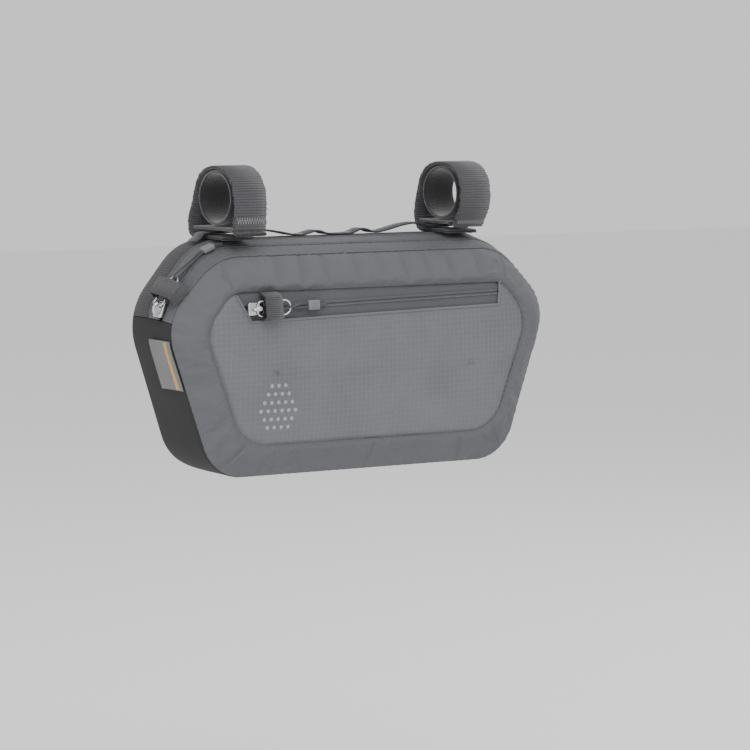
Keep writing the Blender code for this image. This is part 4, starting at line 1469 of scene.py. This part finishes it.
@dataclass
class Ring:
    """The padded ring round the front panel: four pieces of coated cloth, seamed at the corners."""

    wall: float = 0.0018
    width: float = 0.0225
    rows: int = 30
    step: float = 0.0011

    def relief(self, place: float, share: float) -> float:
        """Creases and the seam's crumples, out of the smooth form."""
        turned = place - 2.0 if place > 1.0 else place
        out = FORM.fold(place, share)
        near_seam = math.exp(-((abs(turned + FORM.corner_seam) / 0.035) ** 2))
        spot = Vector((place * 30.0, share * 3.0, 2.0))
        return out + near_seam * 0.0005 * noise.noise(spot)

    def build(self) -> None:
        """Build the four pieces."""
        spans = {
            "ring_top": (-FORM.corner_seam, FORM.corner_seam),
            "ring_right": (FORM.corner_seam, FORM.foot_seam),
            "ring_bottom": (FORM.foot_seam, 2.0 - FORM.foot_seam),
            "ring_left": (-FORM.foot_seam, -FORM.corner_seam),
        }
        for node, (start, end) in spans.items():
            count = int((end - start) * FORM.half_girth / self.step)
            shares = [0.004 + 0.992 * (0.5 - 0.5 * math.cos(math.pi * s)) * 0.5 + 0.496 * s
                      for s in even_steps(0.0, 1.0, self.rows)]
            patch = ClothPatch(node + "_cloth", FORM.ring_spot, shares, even_steps(start, end, count),
                               self.width, self.wall, bath=ClothBath(), relief=self.relief)
            item = hand_over(patch.build(), COATED_CLOTH, "coated_cloth", node)


@dataclass
class Gusset:
    """The gusset: the main zip's tapes, a ribbed rear band and a plain lower part."""

    chain_share: float = 0.27
    tape_share: float = 0.56
    coil_width: float = 0.0034
    tape_wall: float = 0.0012
    wall: float = 0.0018
    span: float = BACK.y - RIM.y

    def patch(self, name: str, low: float, high: float, start: float, end: float, wall: float,
              **more: object) -> bpy.types.Object:
        """One piece of the gusset.

        Args:
            name: the piece's name.
            low: where it starts across the gusset.
            high: where it ends.
            start: where it starts round the bag.
            end: where it ends.
            wall: its thickness.
            more: other settings of the patch.

        Returns:
            The object.
        """
        rows = max(5, int((high - low) * self.span / 0.0012))
        count = int((end - start) * FORM.half_girth / 0.0013)
        return ClothPatch(name, FORM.gusset_spot, even_steps(low, high, rows),
                          even_steps(start, end, count), self.span, wall, **more).build()

    def build(self) -> Bench:
        """Build the gusset's pieces.

        Returns:
            The bench that the main zip's pieces sit on.
        """
        end = FORM.zip_end
        half = self.coil_width / 2 / self.span
        near, far = self.chain_share - half, self.chain_share + half
        front = self.patch("main_tape_fore", 0.004, near, -end, end, self.tape_wall, tuck=0.0002,
                           gather=0.00022)
        hand_over(front, TAPE_CLOTH, "zip_tape", "main_tape_front")
        rear = self.patch("main_tape_aft", far, self.tape_share, -end, end, self.tape_wall, tuck=0.0002)
        hand_over(rear, TAPE_CLOTH, "zip_tape", "main_tape_rear")
        band = self.patch("gusset_band", self.tape_share + 0.002, 0.996, -end, end, self.wall, tuck=0.0004)
        hand_over(band, RIBBED_CLOTH, "gusset_cloth", "gusset_upper")
        base = self.patch("gusset_base", 0.004, 0.996, end + 0.001, 1.999 - end, self.wall,
                          tuck=0.0005, ripple=0.0003)
        hand_over(base, GUSSET_CLOTH, "gusset_cloth", "gusset_lower")

        def spot(along: float, across: float, above: float) -> Vector:
            share = min(max(self.chain_share + across / self.span, 0.0), 1.0)
            found = FORM.gusset_spot(share, -end + along / FORM.half_girth)
            return found.point + found.facing * above

        bench = Bench(spot)
        length = 2 * end * FORM.half_girth
        alongs = even_steps(0.002, length - 0.002, 200)
        edge = (self.tape_share - self.chain_share) * self.span
        rows = [bench.path(alongs, edge - 1.1 * MM, 0.02 * MM)]
        Row("rear_tape_stitches", Unit.BEAD, 2.3 * MM, 1.7 * MM, 0.34 * MM, 0.30 * MM, SEAM_THREAD,
            "zip_tape").build(rows)
        self.build_piping(bench, alongs, edge)
        return bench

    def build_piping(self, bench: Bench, alongs: Sequence[float], edge: float) -> None:
        """The narrow bound edge between the rear tape and the ribbed band.

        Args:
            bench: the main zip's bench.
            alongs: distances along it.
            edge: distance across it.
        """
        stations = [bench.station(along, edge, 0.0) for along in alongs]
        piping = sweep("tape_binding", stations, round_profile(0.55 * MM, 8))
        hand_over(piping, COATED_CLOTH, "coated_cloth")


@dataclass
class Zip:
    """A coil chain with its slider, wire pull, grip and the webbing tab over the slider."""

    name: str
    bench: Bench
    length: float
    slider_at: float
    pull_length: float
    cord_reach: float
    tab_low: float
    tab_high: float
    rail: float = 0.0
    coil_width: float = 0.0034
    slider_length: float = 0.0096
    slider_width: float = 0.0078
    slider_thick: float = 0.0024
    bridge_room: float = 0.0016
    loop_width: float = 0.0080
    wire: float = 0.0011
    cord: float = 0.0012
    seat: float = 0.0007
    gap: float = 0.0003
    grip_size: tuple[float, float, float] = (0.0072, 0.0054, 0.0030)
    tail: float = 0.0050
    tab_width: float = 0.0112
    tab_thick: float = 0.0011
    tab_rise: float = 0.0052
    tab_at: float = 0.0098

    def build(self) -> None:
        """Build every piece of the zip."""
        self.build_chain()
        self.build_slider()
        self.build_pull()
        self.build_tab()

    def build_chain(self) -> None:
        """The closed chain: two rolled tape edges with coil turns between them and stitches over them."""
        half = self.coil_width / 2
        alongs = even_steps(half, self.length - half, int(self.length / 0.0015))
        ridge = ((-1.0, -0.55), (-0.92, 0.05), (-0.62, 0.20), (-0.30, 0.12), (0.0, -0.22),
                 (0.30, 0.12), (0.62, 0.20), (0.92, 0.05), (1.0, -0.55))
        profile = [(across * half, above * MM + self.rail) for across, above in ridge]
        stations = [self.bench.station(along) for along in alongs]
        base = sweep(self.name + "_chain_edge", stations, profile)
        hand_over(base, TAPE_CLOTH, "zip_tape", self.name + "_zip_chain")
        turns = self.bench.path(alongs, 0.0, self.rail - 0.05 * MM)
        Row(self.name + "_coil_turns", Unit.BEAD, 1.25 * MM, 0.72 * MM, 1.5 * MM, 0.55 * MM, COIL_PLASTIC,
            "zip_tape", unevenness=0.03).build([turns])
        lines = [self.bench.path(alongs, side * half * 0.66, self.rail + 0.16 * MM) for side in (-1, 1)]
        Row(self.name + "_chain_stitches", Unit.BEAD, 1.25 * MM, 0.60 * MM, 0.75 * MM, 0.22 * MM,
            SEAM_THREAD, "zip_tape").build(lines)

    def build_slider(self) -> None:
        """The slider: a waisted body with an arched bridge."""
        matrix = self.bench.frame(self.slider_at, 0.0, self.seat + self.slider_thick / 2)
        size = Vector((self.slider_length, self.slider_width, self.slider_thick))
        body = block(self.name + "_slider_body", Matrix.Identity(4), size, self.slider_thick * 0.33)
        for vertex in body.data.vertices:
            share = vertex.co.x / self.slider_length + 0.5
            vertex.co.y *= 0.74 + 0.26 * math.cos(math.pi * (share - 0.22)) ** 2
            vertex.co.z *= 1.0 - 0.25 * share
        body.data.transform(matrix)
        body.data.update()
        bar = self.wire * 1.3
        crown = self.seat + self.slider_thick + self.wire + self.bridge_room + bar / 2
        foot = self.seat + self.slider_thick * 0.5
        arch = []
        for step in range(17):
            angle = math.pi * step / 16
            x = self.slider_at - math.cos(angle) * self.slider_length * 0.31
            arch.append(self.bench.spot(x, 0.0, foot + (crown - foot) * math.sin(angle) ** 0.6))
        sideways = matrix.col[1].to_3d()
        bridge = sweep(self.name + "_slider_bridge", stations_along(arch, sideways),
                       [(a * 1.5, o * 0.8) for a, o in round_profile(bar / 2)])
        hand_over(body, SLIDER_METAL, "slider_metal", self.name + "_slider")
        hand_over(bridge, SLIDER_METAL, "slider_metal")

    def build_pull(self) -> None:
        """Wire loop, cord, grip and tail."""
        height = self.seat + self.slider_thick + self.gap + self.wire / 2
        start = self.slider_at
        end = start + self.pull_length
        nose = start + self.slider_length / 2
        origin = self.bench.spot(nose, 0.0, height)
        forward = (self.bench.spot(end, 0.0, height) - origin).normalized()
        sideways = self.bench.frame(start, 0.0, 0.0).col[1].to_3d()
        outward = forward.cross(sideways).normalized()

        def plane(along: float, across: float, above: float) -> Vector:
            return origin + forward * (along - nose) + sideways * across + outward * above

        radius = self.loop_width / 2
        wire = []
        for middle, turn, stretch in ((end - radius, -math.pi / 2, 1.0),
                                      (start + radius * 0.5, math.pi / 2, 0.5)):
            for angle in even_steps(turn, turn + math.pi, 14):
                wire.append(plane(middle + math.cos(angle) * radius * stretch, math.sin(angle) * radius, 0.0))
        loop = sweep(self.name + "_wire_loop", stations_along(wire, outward, closed=True),
                     round_profile(self.wire / 2), closed=True)
        hand_over(loop, SLIDER_METAL, "slider_metal", self.name + "_pull_loop")

        bend = (self.wire + self.cord) / 2 + self.gap
        grip = end + self.cord_reach
        strand = self.cord * 0.5 + self.gap
        level = self.seat + self.grip_size[2] / 2
        route = [
            self.bench.spot(grip - self.gap, strand, level),
            self.bench.spot(end + self.cord_reach * 0.55, strand, level),
            plane(end + bend, strand * 0.4, bend * 0.9),
            plane(end, 0.0, bend),
            plane(end - bend, 0.0, 0.0),
            plane(end, 0.0, -bend),
            plane(end + bend, -strand * 0.4, -bend * 0.9),
            self.bench.spot(end + self.cord_reach * 0.55, -strand, level * 0.8),
            self.bench.spot(grip - self.gap, -strand, level),
        ]
        cord = sweep(self.name + "_braided_cord", stations_along(smooth_route(route, 8), sideways),
                     round_profile(self.cord / 2))
        hand_over(cord, BRAID, "pull_cord", self.name + "_pull_cord")

        middle = grip + self.grip_size[0] / 2
        matrix = self.bench.frame(middle, 0.0, level)
        handle = block(self.name + "_grip_block", matrix, Vector(self.grip_size), self.grip_size[2] * 0.26)
        hand_over(handle, GRIP_RUBBER, "grip_rubber", self.name + "_grip")
        grooves = [self.bench.path([middle + off - 0.1 * MM, middle + off, middle + off + 0.1 * MM], 0.0,
                                   self.seat + self.grip_size[2]) for off in (-1.6 * MM, 0.0, 1.6 * MM)]
        Row(self.name + "_grip_ribs", Unit.ROD, 5.0 * MM, 0.7 * MM, self.grip_size[1] * 0.7, 0.5 * MM,
            GRIP_RUBBER, "grip_rubber", unevenness=0.0).build(grooves)
        start = grip + self.grip_size[0] + self.gap
        tail = [self.bench.spot(start + self.tail * share, 0.0, level * (1.0 - 0.2 * share))
                for share in even_steps(0.0, 1.0, 8)]
        end_piece = sweep(self.name + "_cord_tail", stations_along(tail, sideways),
                          round_profile(self.cord * 0.6))
        hand_over(end_piece, BRAID, "pull_cord", self.name + "_pull_tail")

    def build_tab(self) -> None:
        """The webbing tab that bridges the zip, sewn down at both ends."""
        along = self.slider_at + self.tab_at
        stations = []
        spots = []
        for share in even_steps(0.0, 1.0, 48):
            rise = self.tab_rise * min(1.0, math.sin(math.pi * share) * 3.2) ** 0.9 + self.gap
            across = self.tab_low + (self.tab_high - self.tab_low) * share
            matrix = self.bench.frame(along, across, rise + self.tab_thick / 2)
            stations.append(Station(matrix.translation, matrix.col[0].to_3d(), matrix.col[2].to_3d()))
        middle_out = stations[24].out
        curve = stations_along([station.point for station in stations], stations[24].across)
        if curve[24].out.dot(middle_out) < 0:
            curve = [Station(s.point, s.across, -s.out) for s in curve]
        tab = sweep(self.name + "_tab", curve, band_profile(self.tab_width, self.tab_thick))
        hand_over(tab, STRAP_CORE, "webbing", self.name + "_garage")
        spots = [Spot(s.point + s.out * self.tab_thick * 0.48, s.out) for s in curve]
        Row(self.name + "_tab_ribs", Unit.ROD, 1.15 * MM, 1.05 * MM, self.tab_width * 0.97, 0.55 * MM,
            STRAP_YARN, "webbing", unevenness=0.04).build([spots])


class Turn(NamedTuple):
    """A point of a strap's middle line, for the -X strap and the +X strap."""

    left_y: float
    left_z: float
    right_y: float
    right_z: float


STRAP_TURNS = (
    Turn(-0.975, -0.735, -0.660, -0.850),
    Turn(-0.995, -0.430, -0.800, -0.640),
    Turn(-1.000, -0.110, -0.965, -0.330),
    Turn(-0.930, 0.340, -1.000, 0.050),
    Turn(-0.715, 0.720, -0.900, 0.520),
    Turn(-0.380, 0.950, -0.560, 0.900),
    Turn(0.000, 1.000, -0.080, 1.000),
    Turn(0.340, 0.920, 0.330, 0.930),
    Turn(0.640, 0.710, 0.640, 0.720),
    Turn(0.850, 0.340, 0.840, 0.360),
    Turn(0.980, -0.110, 0.950, -0.130),
    Turn(1.120, -0.450, 1.030, -0.420),
    Turn(1.180, -0.700, 1.050, -0.650),
    Turn(1.110, -0.930, 0.980, -0.880),
    Turn(0.880, -1.000, 0.800, -1.000),
    Turn(0.400, -1.000, 0.350, -1.000),
    Turn(-0.150, -1.000, -0.150, -1.000),
    Turn(-0.420, -1.020, -0.420, -1.020),
)
TONGUE_TURNS = (
    Turn(0.980, 0.100, 0.900, 0.000),
    Turn(0.500, 0.000, 0.500, 0.000),
    Turn(0.000, 0.000, 0.000, 0.000),
    Turn(-0.550, 0.080, -0.250, 0.040),
    Turn(-0.900, 0.450, -0.400, 0.150),
    Turn(-1.060, 1.300, -0.520, 0.300),
)


@dataclass
class Strap:
    """One strap round the handlebar: ribbed webbing, a pile liner and a pile tongue."""

    side: Side
    bar: float = 0.0264
    clearance: float = 0.0002
    spacing: float = 0.1510
    width: float = 0.0204
    thick: float = 0.0019
    reach: float = 0.0232
    liner_thick: float = 0.0022
    liner_reach: float = 0.0171
    liner_offset: float = -0.0020
    tongue_thick: float = 0.0022
    tongue_share: float = 0.97
    layer_gap: float = 0.0004
    seam_gap: float = 0.0003

    def label(self) -> str:
        """The side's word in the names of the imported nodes."""
        return "left" if self.side is Side.LEFT else "right"

    def middle(self) -> float:
        """X of the strap's middle."""
        return self.side.value * self.spacing / 2

    def liner_top(self) -> float:
        """Height of the liner's outside over the bar's axis."""
        return self.bar / 2 + self.clearance + self.liner_thick

    def pick(self, turn: Turn) -> tuple[float, float]:
        """The y and z shares of a turn for this side."""
        return (turn.left_y, turn.left_z) if self.side is Side.LEFT else (turn.right_y, turn.right_z)

    def route(self) -> list[Vector]:
        """The webbing's middle line, from its front end over the bar to its end under the bar."""
        top = self.liner_top() + self.layer_gap + self.thick / 2
        run = -(FORM.gusset_top() + self.seam_gap + self.thick / 2)
        points = []
        for turn in STRAP_TURNS:
            y, z = self.pick(turn)
            points.append(Vector((self.middle(), y * self.reach, z * (top if z > 0 else run))))
        return smooth_route(points, 10)

    def build(self) -> None:
        """Build the strap's pieces."""
        self.build_webbing()
        self.build_liner()
        self.build_tongue()

    def build_webbing(self) -> None:
        """The outer webbing with its ribs on both faces, and the thread that ties its end."""
        stations = stations_along(self.route(), Vector((1.0, 0.0, 0.0)))
        core = sweep("strap_webbing_" + self.label(), stations, band_profile(self.width, self.thick * 0.8))
        hand_over(core, STRAP_CORE, "webbing", "strap_" + self.label())
        paths = []
        for face in (-1.0, 1.0):
            paths.append([Spot(s.point + s.out * face * self.thick * 0.36, s.out * face) for s in stations])
        Row("strap_ribs_" + self.label(), Unit.ROD, 1.5 * MM, 1.42 * MM, self.width * 0.985, 0.62 * MM,
            STRAP_YARN, "webbing", unevenness=0.03, seed=11).build(paths)
        self.build_bartack(stations)

    def build_bartack(self, stations: Sequence[Station]) -> None:
        """Zigzag thread across the strap near its front end.

        Args:
            stations: the webbing's stations.
        """
        near, far = (stations[4], stations[8])
        rows = []
        count = 22
        zigzag = []
        for index in range(count + 1):
            share = index / count - 0.5
            base = near if index % 2 else far
            point = base.point + base.across * share * self.width * 0.86 + base.out * self.thick * 0.62
            zigzag.append(Spot(point, base.out))
        for first, second in zip(zigzag, zigzag[1:]):
            rows.append([first, Spot((first.point + second.point) / 2, first.facing), second])
        Row("strap_bartack_" + self.label(), Unit.BEAD, 0.8 * MM, 1.0 * MM, 0.34 * MM, 0.30 * MM,
            PALE_THREAD, "webbing", seed=5).build(rows)

    def build_liner(self) -> None:
        """The pile liner that closes round the bar."""
        half_height = self.bar / 2 + self.clearance + self.liner_thick / 2
        loop = []
        for angle in even_steps(0.0, math.tau, 96)[:-1]:
            loop.append(Vector((self.middle(), self.liner_offset + math.cos(angle) * self.liner_reach,
                                math.sin(angle) * half_height)))
        stations = stations_along(loop, Vector((1.0, 0.0, 0.0)), closed=True)
        liner = sweep("strap_lining_" + self.label(), stations,
                      band_profile(self.width, self.liner_thick * 0.96), closed=True)
        hand_over(liner, LOOP_PILE, "loop_pile", "strap_liner_" + self.label())

    def build_tongue(self) -> None:
        """The pile tongue that lies between the bar and the bag."""
        level = -(self.liner_top() + self.layer_gap + self.tongue_thick / 2)
        points = []
        for turn in TONGUE_TURNS:
            y, sink = self.pick(turn)
            points.append(Vector((self.middle(), y * self.reach * self.tongue_share,
                                  level - sink * self.tongue_thick)))
        stations = stations_along(smooth_route(points, 12), Vector((1.0, 0.0, 0.0)))
        tongue = sweep("strap_flap_" + self.label(), stations,
                       band_profile(self.width, self.tongue_thick * 0.96))
        hand_over(tongue, LOOP_PILE, "loop_pile", "strap_tongue_" + self.label())


class Arch(NamedTuple):
    """A point of the daisy strip: shares of its half length and of its height over a strap."""

    x: float
    lift: float


ARCHES = (
    Arch(-1.000, -0.75), Arch(-0.970, 0.05), Arch(-0.935, 1.02), Arch(-0.810, 1.08),
    Arch(-0.690, 1.06), Arch(-0.610, 1.25), Arch(-0.515, 1.30), Arch(-0.410, 0.75),
    Arch(-0.320, 0.12), Arch(-0.250, 0.00), Arch(-0.145, 0.80), Arch(-0.060, 0.05),
    Arch(0.093, 0.00), Arch(0.185, 0.95), Arch(0.268, 0.15), Arch(0.340, 0.35),
    Arch(0.485, 1.55), Arch(0.588, 1.90), Arch(0.660, 1.35), Arch(0.712, 1.10),
    Arch(0.810, 1.08), Arch(0.935, 1.02), Arch(0.970, 0.05), Arch(1.000, -0.75),
)


@dataclass
class DaisyStrip:
    """The webbing strip along the top, in arches that the straps pass under."""

    width: float = 0.0100
    thick: float = 0.0010
    y: float = 0.0100
    end_x: float = 0.0930
    strap_thick: float = 0.0019
    seam_gap: float = 0.0003
    tacks: tuple[float, ...] = (-0.250, -0.060, 0.093, 0.268)

    def build(self) -> None:
        """Build the strip, its ribs and the thread that ties it down."""
        seat = FORM.gusset_top() + self.seam_gap + self.thick / 2
        over = self.strap_thick + 2 * self.seam_gap
        points = [Vector((arch.x * self.end_x, self.y, seat + arch.lift * over)) for arch in ARCHES]
        stations = stations_along(smooth_route(points, 8), Vector((0.0, -1.0, 0.0)))
        if stations[40].out.z < 0:
            stations = [Station(s.point, s.across, -s.out) for s in stations]
        strip = sweep("daisy_strip", stations, band_profile(self.width, self.thick * 0.85))
        hand_over(strip, STRAP_CORE, "webbing", "daisy_chain")
        path = [Spot(s.point + s.out * self.thick * 0.40, s.out) for s in stations]
        Row("daisy_ribs", Unit.ROD, 1.1 * MM, 1.0 * MM, self.width * 0.97, 0.40 * MM, STRAP_YARN,
            "webbing", unevenness=0.04).build([path])
        rows = []
        for share in self.tacks:
            x = share * self.end_x
            near = min(stations, key=lambda s: abs(s.point.x - x))
            for off in (-0.9 * MM, 0.0, 0.9 * MM):
                middle = near.point + Vector((off, 0.0, 0.0)) + near.out * self.thick * 0.62
                reach = near.across * self.width * 0.40
                rows.append([Spot(middle - reach, near.out), Spot(middle, near.out),
                             Spot(middle + reach, near.out)])
        Row("daisy_bartacks", Unit.BEAD, 0.9 * MM, 1.1 * MM, 0.36 * MM, 0.30 * MM, PALE_THREAD,
            "webbing").build(rows)


@dataclass
class SideLabel:
    """The woven label that is sewn into the rim seam, bare apart from a plain woven band."""

    width: float = 0.0210
    height: float = 0.0290
    thick: float = 0.0006
    below_zip: float = 0.0100
    curl: float = 0.0012
    band_share: float = 0.22

    def spot(self, share: float, place: float) -> Spot:
        """Spot on the label, which stands off the gusset towards its free edge."""
        found = FORM.gusset_spot(share, place)
        free = max(0.0, share - 0.03) / (self.width / (BACK.y - RIM.y))
        lift = self.thick + 0.3 * MM + self.curl * free ** 2
        return Spot(found.point + found.facing * lift, found.facing)

    def build(self) -> None:
        """Build the label and its band."""
        start = -FORM.zip_end - (self.below_zip + self.height) / FORM.half_girth
        end = -FORM.zip_end - self.below_zip / FORM.half_girth
        far = self.width / (BACK.y - RIM.y)
        patch = ClothPatch("woven_label", self.spot, even_steps(0.03, far, 18), even_steps(start, end, 26),
                           BACK.y - RIM.y, self.thick * 0.8, tuck=0.0, ripple=0.0001, gather=0.0)
        label = hand_over(patch.build(), LABEL_SATIN, "label_cloth", "side_label")
        share = 0.03 + (far - 0.03) * self.band_share
        band = []
        for place in even_steps(start + 0.002, end - 0.002, 24):
            found = self.spot(share, place)
            ahead = (self.spot(share, place + 0.001).point - found.point).normalized()
            band.append(Station(found.point + found.facing * 0.12 * MM, found.facing.cross(ahead),
                                found.facing))
        stripe = sweep("label_band", band, band_profile(2.2 * MM, 0.18 * MM, 12))
        hand_over(stripe, LABEL_BAND, "label_cloth")


@dataclass
class Studio:
    """Camera, lights and floor."""

    azimuth: float = -33.0
    pitch: float = 5.275
    lens_pixels: float = 3390.0
    image_pixels: float = 750.0
    distance: float = 1.932
    origin_pixel: tuple[float, float] = (343.0, 194.5)
    floor_z: float = -0.40

    def build(self) -> None:
        """Build the camera, the lights, the world and the floor."""
        self.build_camera()
        self.build_light("key_light", (-0.35, -1.30, 1.55), 1.5, 24.0)
        self.build_light("fill_light", (-1.70, -0.55, 0.35), 1.2, 9.0)
        self.build_light("edge_light", (1.30, 0.30, 0.90), 1.0, 10.0)
        world = bpy.data.worlds.new("studio")
        world.use_nodes = True
        backdrop = world.node_tree.nodes["Background"]
        backdrop.inputs["Color"].default_value = (1.0, 1.0, 1.0, 1.0)
        backdrop.inputs["Strength"].default_value = 0.9
        bpy.context.scene.world = world
        shape = bmesh.new()
        bmesh.ops.create_grid(shape, x_segments=1, y_segments=1, size=6.0)
        bmesh.ops.translate(shape, vec=(0.0, 0.0, self.floor_z), verts=shape.verts)
        mesh = bpy.data.meshes.new("floor")
        shape.to_mesh(mesh)
        shape.free()
        floor = link("floor", mesh)
        material = bpy.data.materials.new("pale_floor")
        material.use_nodes = True
        surface = material.node_tree.nodes["Principled BSDF"]
        surface.inputs["Base Color"].default_value = (0.90, 0.90, 0.90, 1.0)
        surface.inputs["Roughness"].default_value = 0.9
        mesh.materials.append(material)

    def build_camera(self) -> None:
        """The camera, at the photograph's angle and distance."""
        azimuth = math.radians(self.azimuth)
        pitch = math.radians(self.pitch)
        back = Vector((math.sin(azimuth) * math.cos(pitch), -math.cos(azimuth) * math.cos(pitch),
                       math.sin(pitch)))
        right = (-back).cross(Vector((0.0, 0.0, 1.0))).normalized()
        up = right.cross(-back)
        middle = self.image_pixels / 2
        off_x = (self.origin_pixel[0] - middle) / self.lens_pixels
        off_y = (middle - self.origin_pixel[1]) / self.lens_pixels
        data = bpy.data.cameras.new("camera")
        data.sensor_width = 36.0
        data.lens = data.sensor_width * self.lens_pixels / self.image_pixels
        camera = link("camera", data)
        camera.location = (back - right * off_x - up * off_y) * self.distance
        camera.rotation_euler = (math.pi / 2 - pitch, 0.0, azimuth)
        bpy.context.scene.camera = camera

    def build_light(self, name: str, place: tuple[float, float, float], size: float, power: float) -> None:
        """A square soft light aimed at the bag.

        Args:
            name: its name.
            place: where it stands.
            size: its side.
            power: its power in watts.
        """
        data = bpy.data.lights.new(name, "AREA")
        data.size = size
        data.energy = power
        lamp = link(name, data)
        lamp.location = place
        aim = Vector((0.0, 0.0, -0.07)) - Vector(place)
        lamp.rotation_euler = aim.to_track_quat("-Z", "Y").to_euler()


def main() -> None:
    """Build the studio and then the bag's sub-assemblies, in order."""
    logging.basicConfig(level=logging.INFO, format="%(message)s")
    Studio().build()
    front = FrontPanel()
    pocket_bench = front.build()
    front.build_back()
    Ring().build()
    main_bench = Gusset().build()
    low = -front.tape_below + 0.6 * MM
    high = front.tape_height - front.tape_below - 0.6 * MM
    Zip("pocket", pocket_bench, front.zip_right - front.zip_left, 0.0096 * 0.62, 0.0215, 0.0125,
        low, high).build()
    reach = 0.27 * (BACK.y - RIM.y) - 0.6 * MM
    Zip("main", main_bench, 2 * FORM.zip_end * FORM.half_girth, 0.0096 * 0.55, 0.0195, 0.0180,
        -reach, reach).build()
    SideLabel().build()
    DaisyStrip().build()
    Strap(Side.LEFT).build()
    Strap(Side.RIGHT).build()


if __name__ == "__main__":
    main()
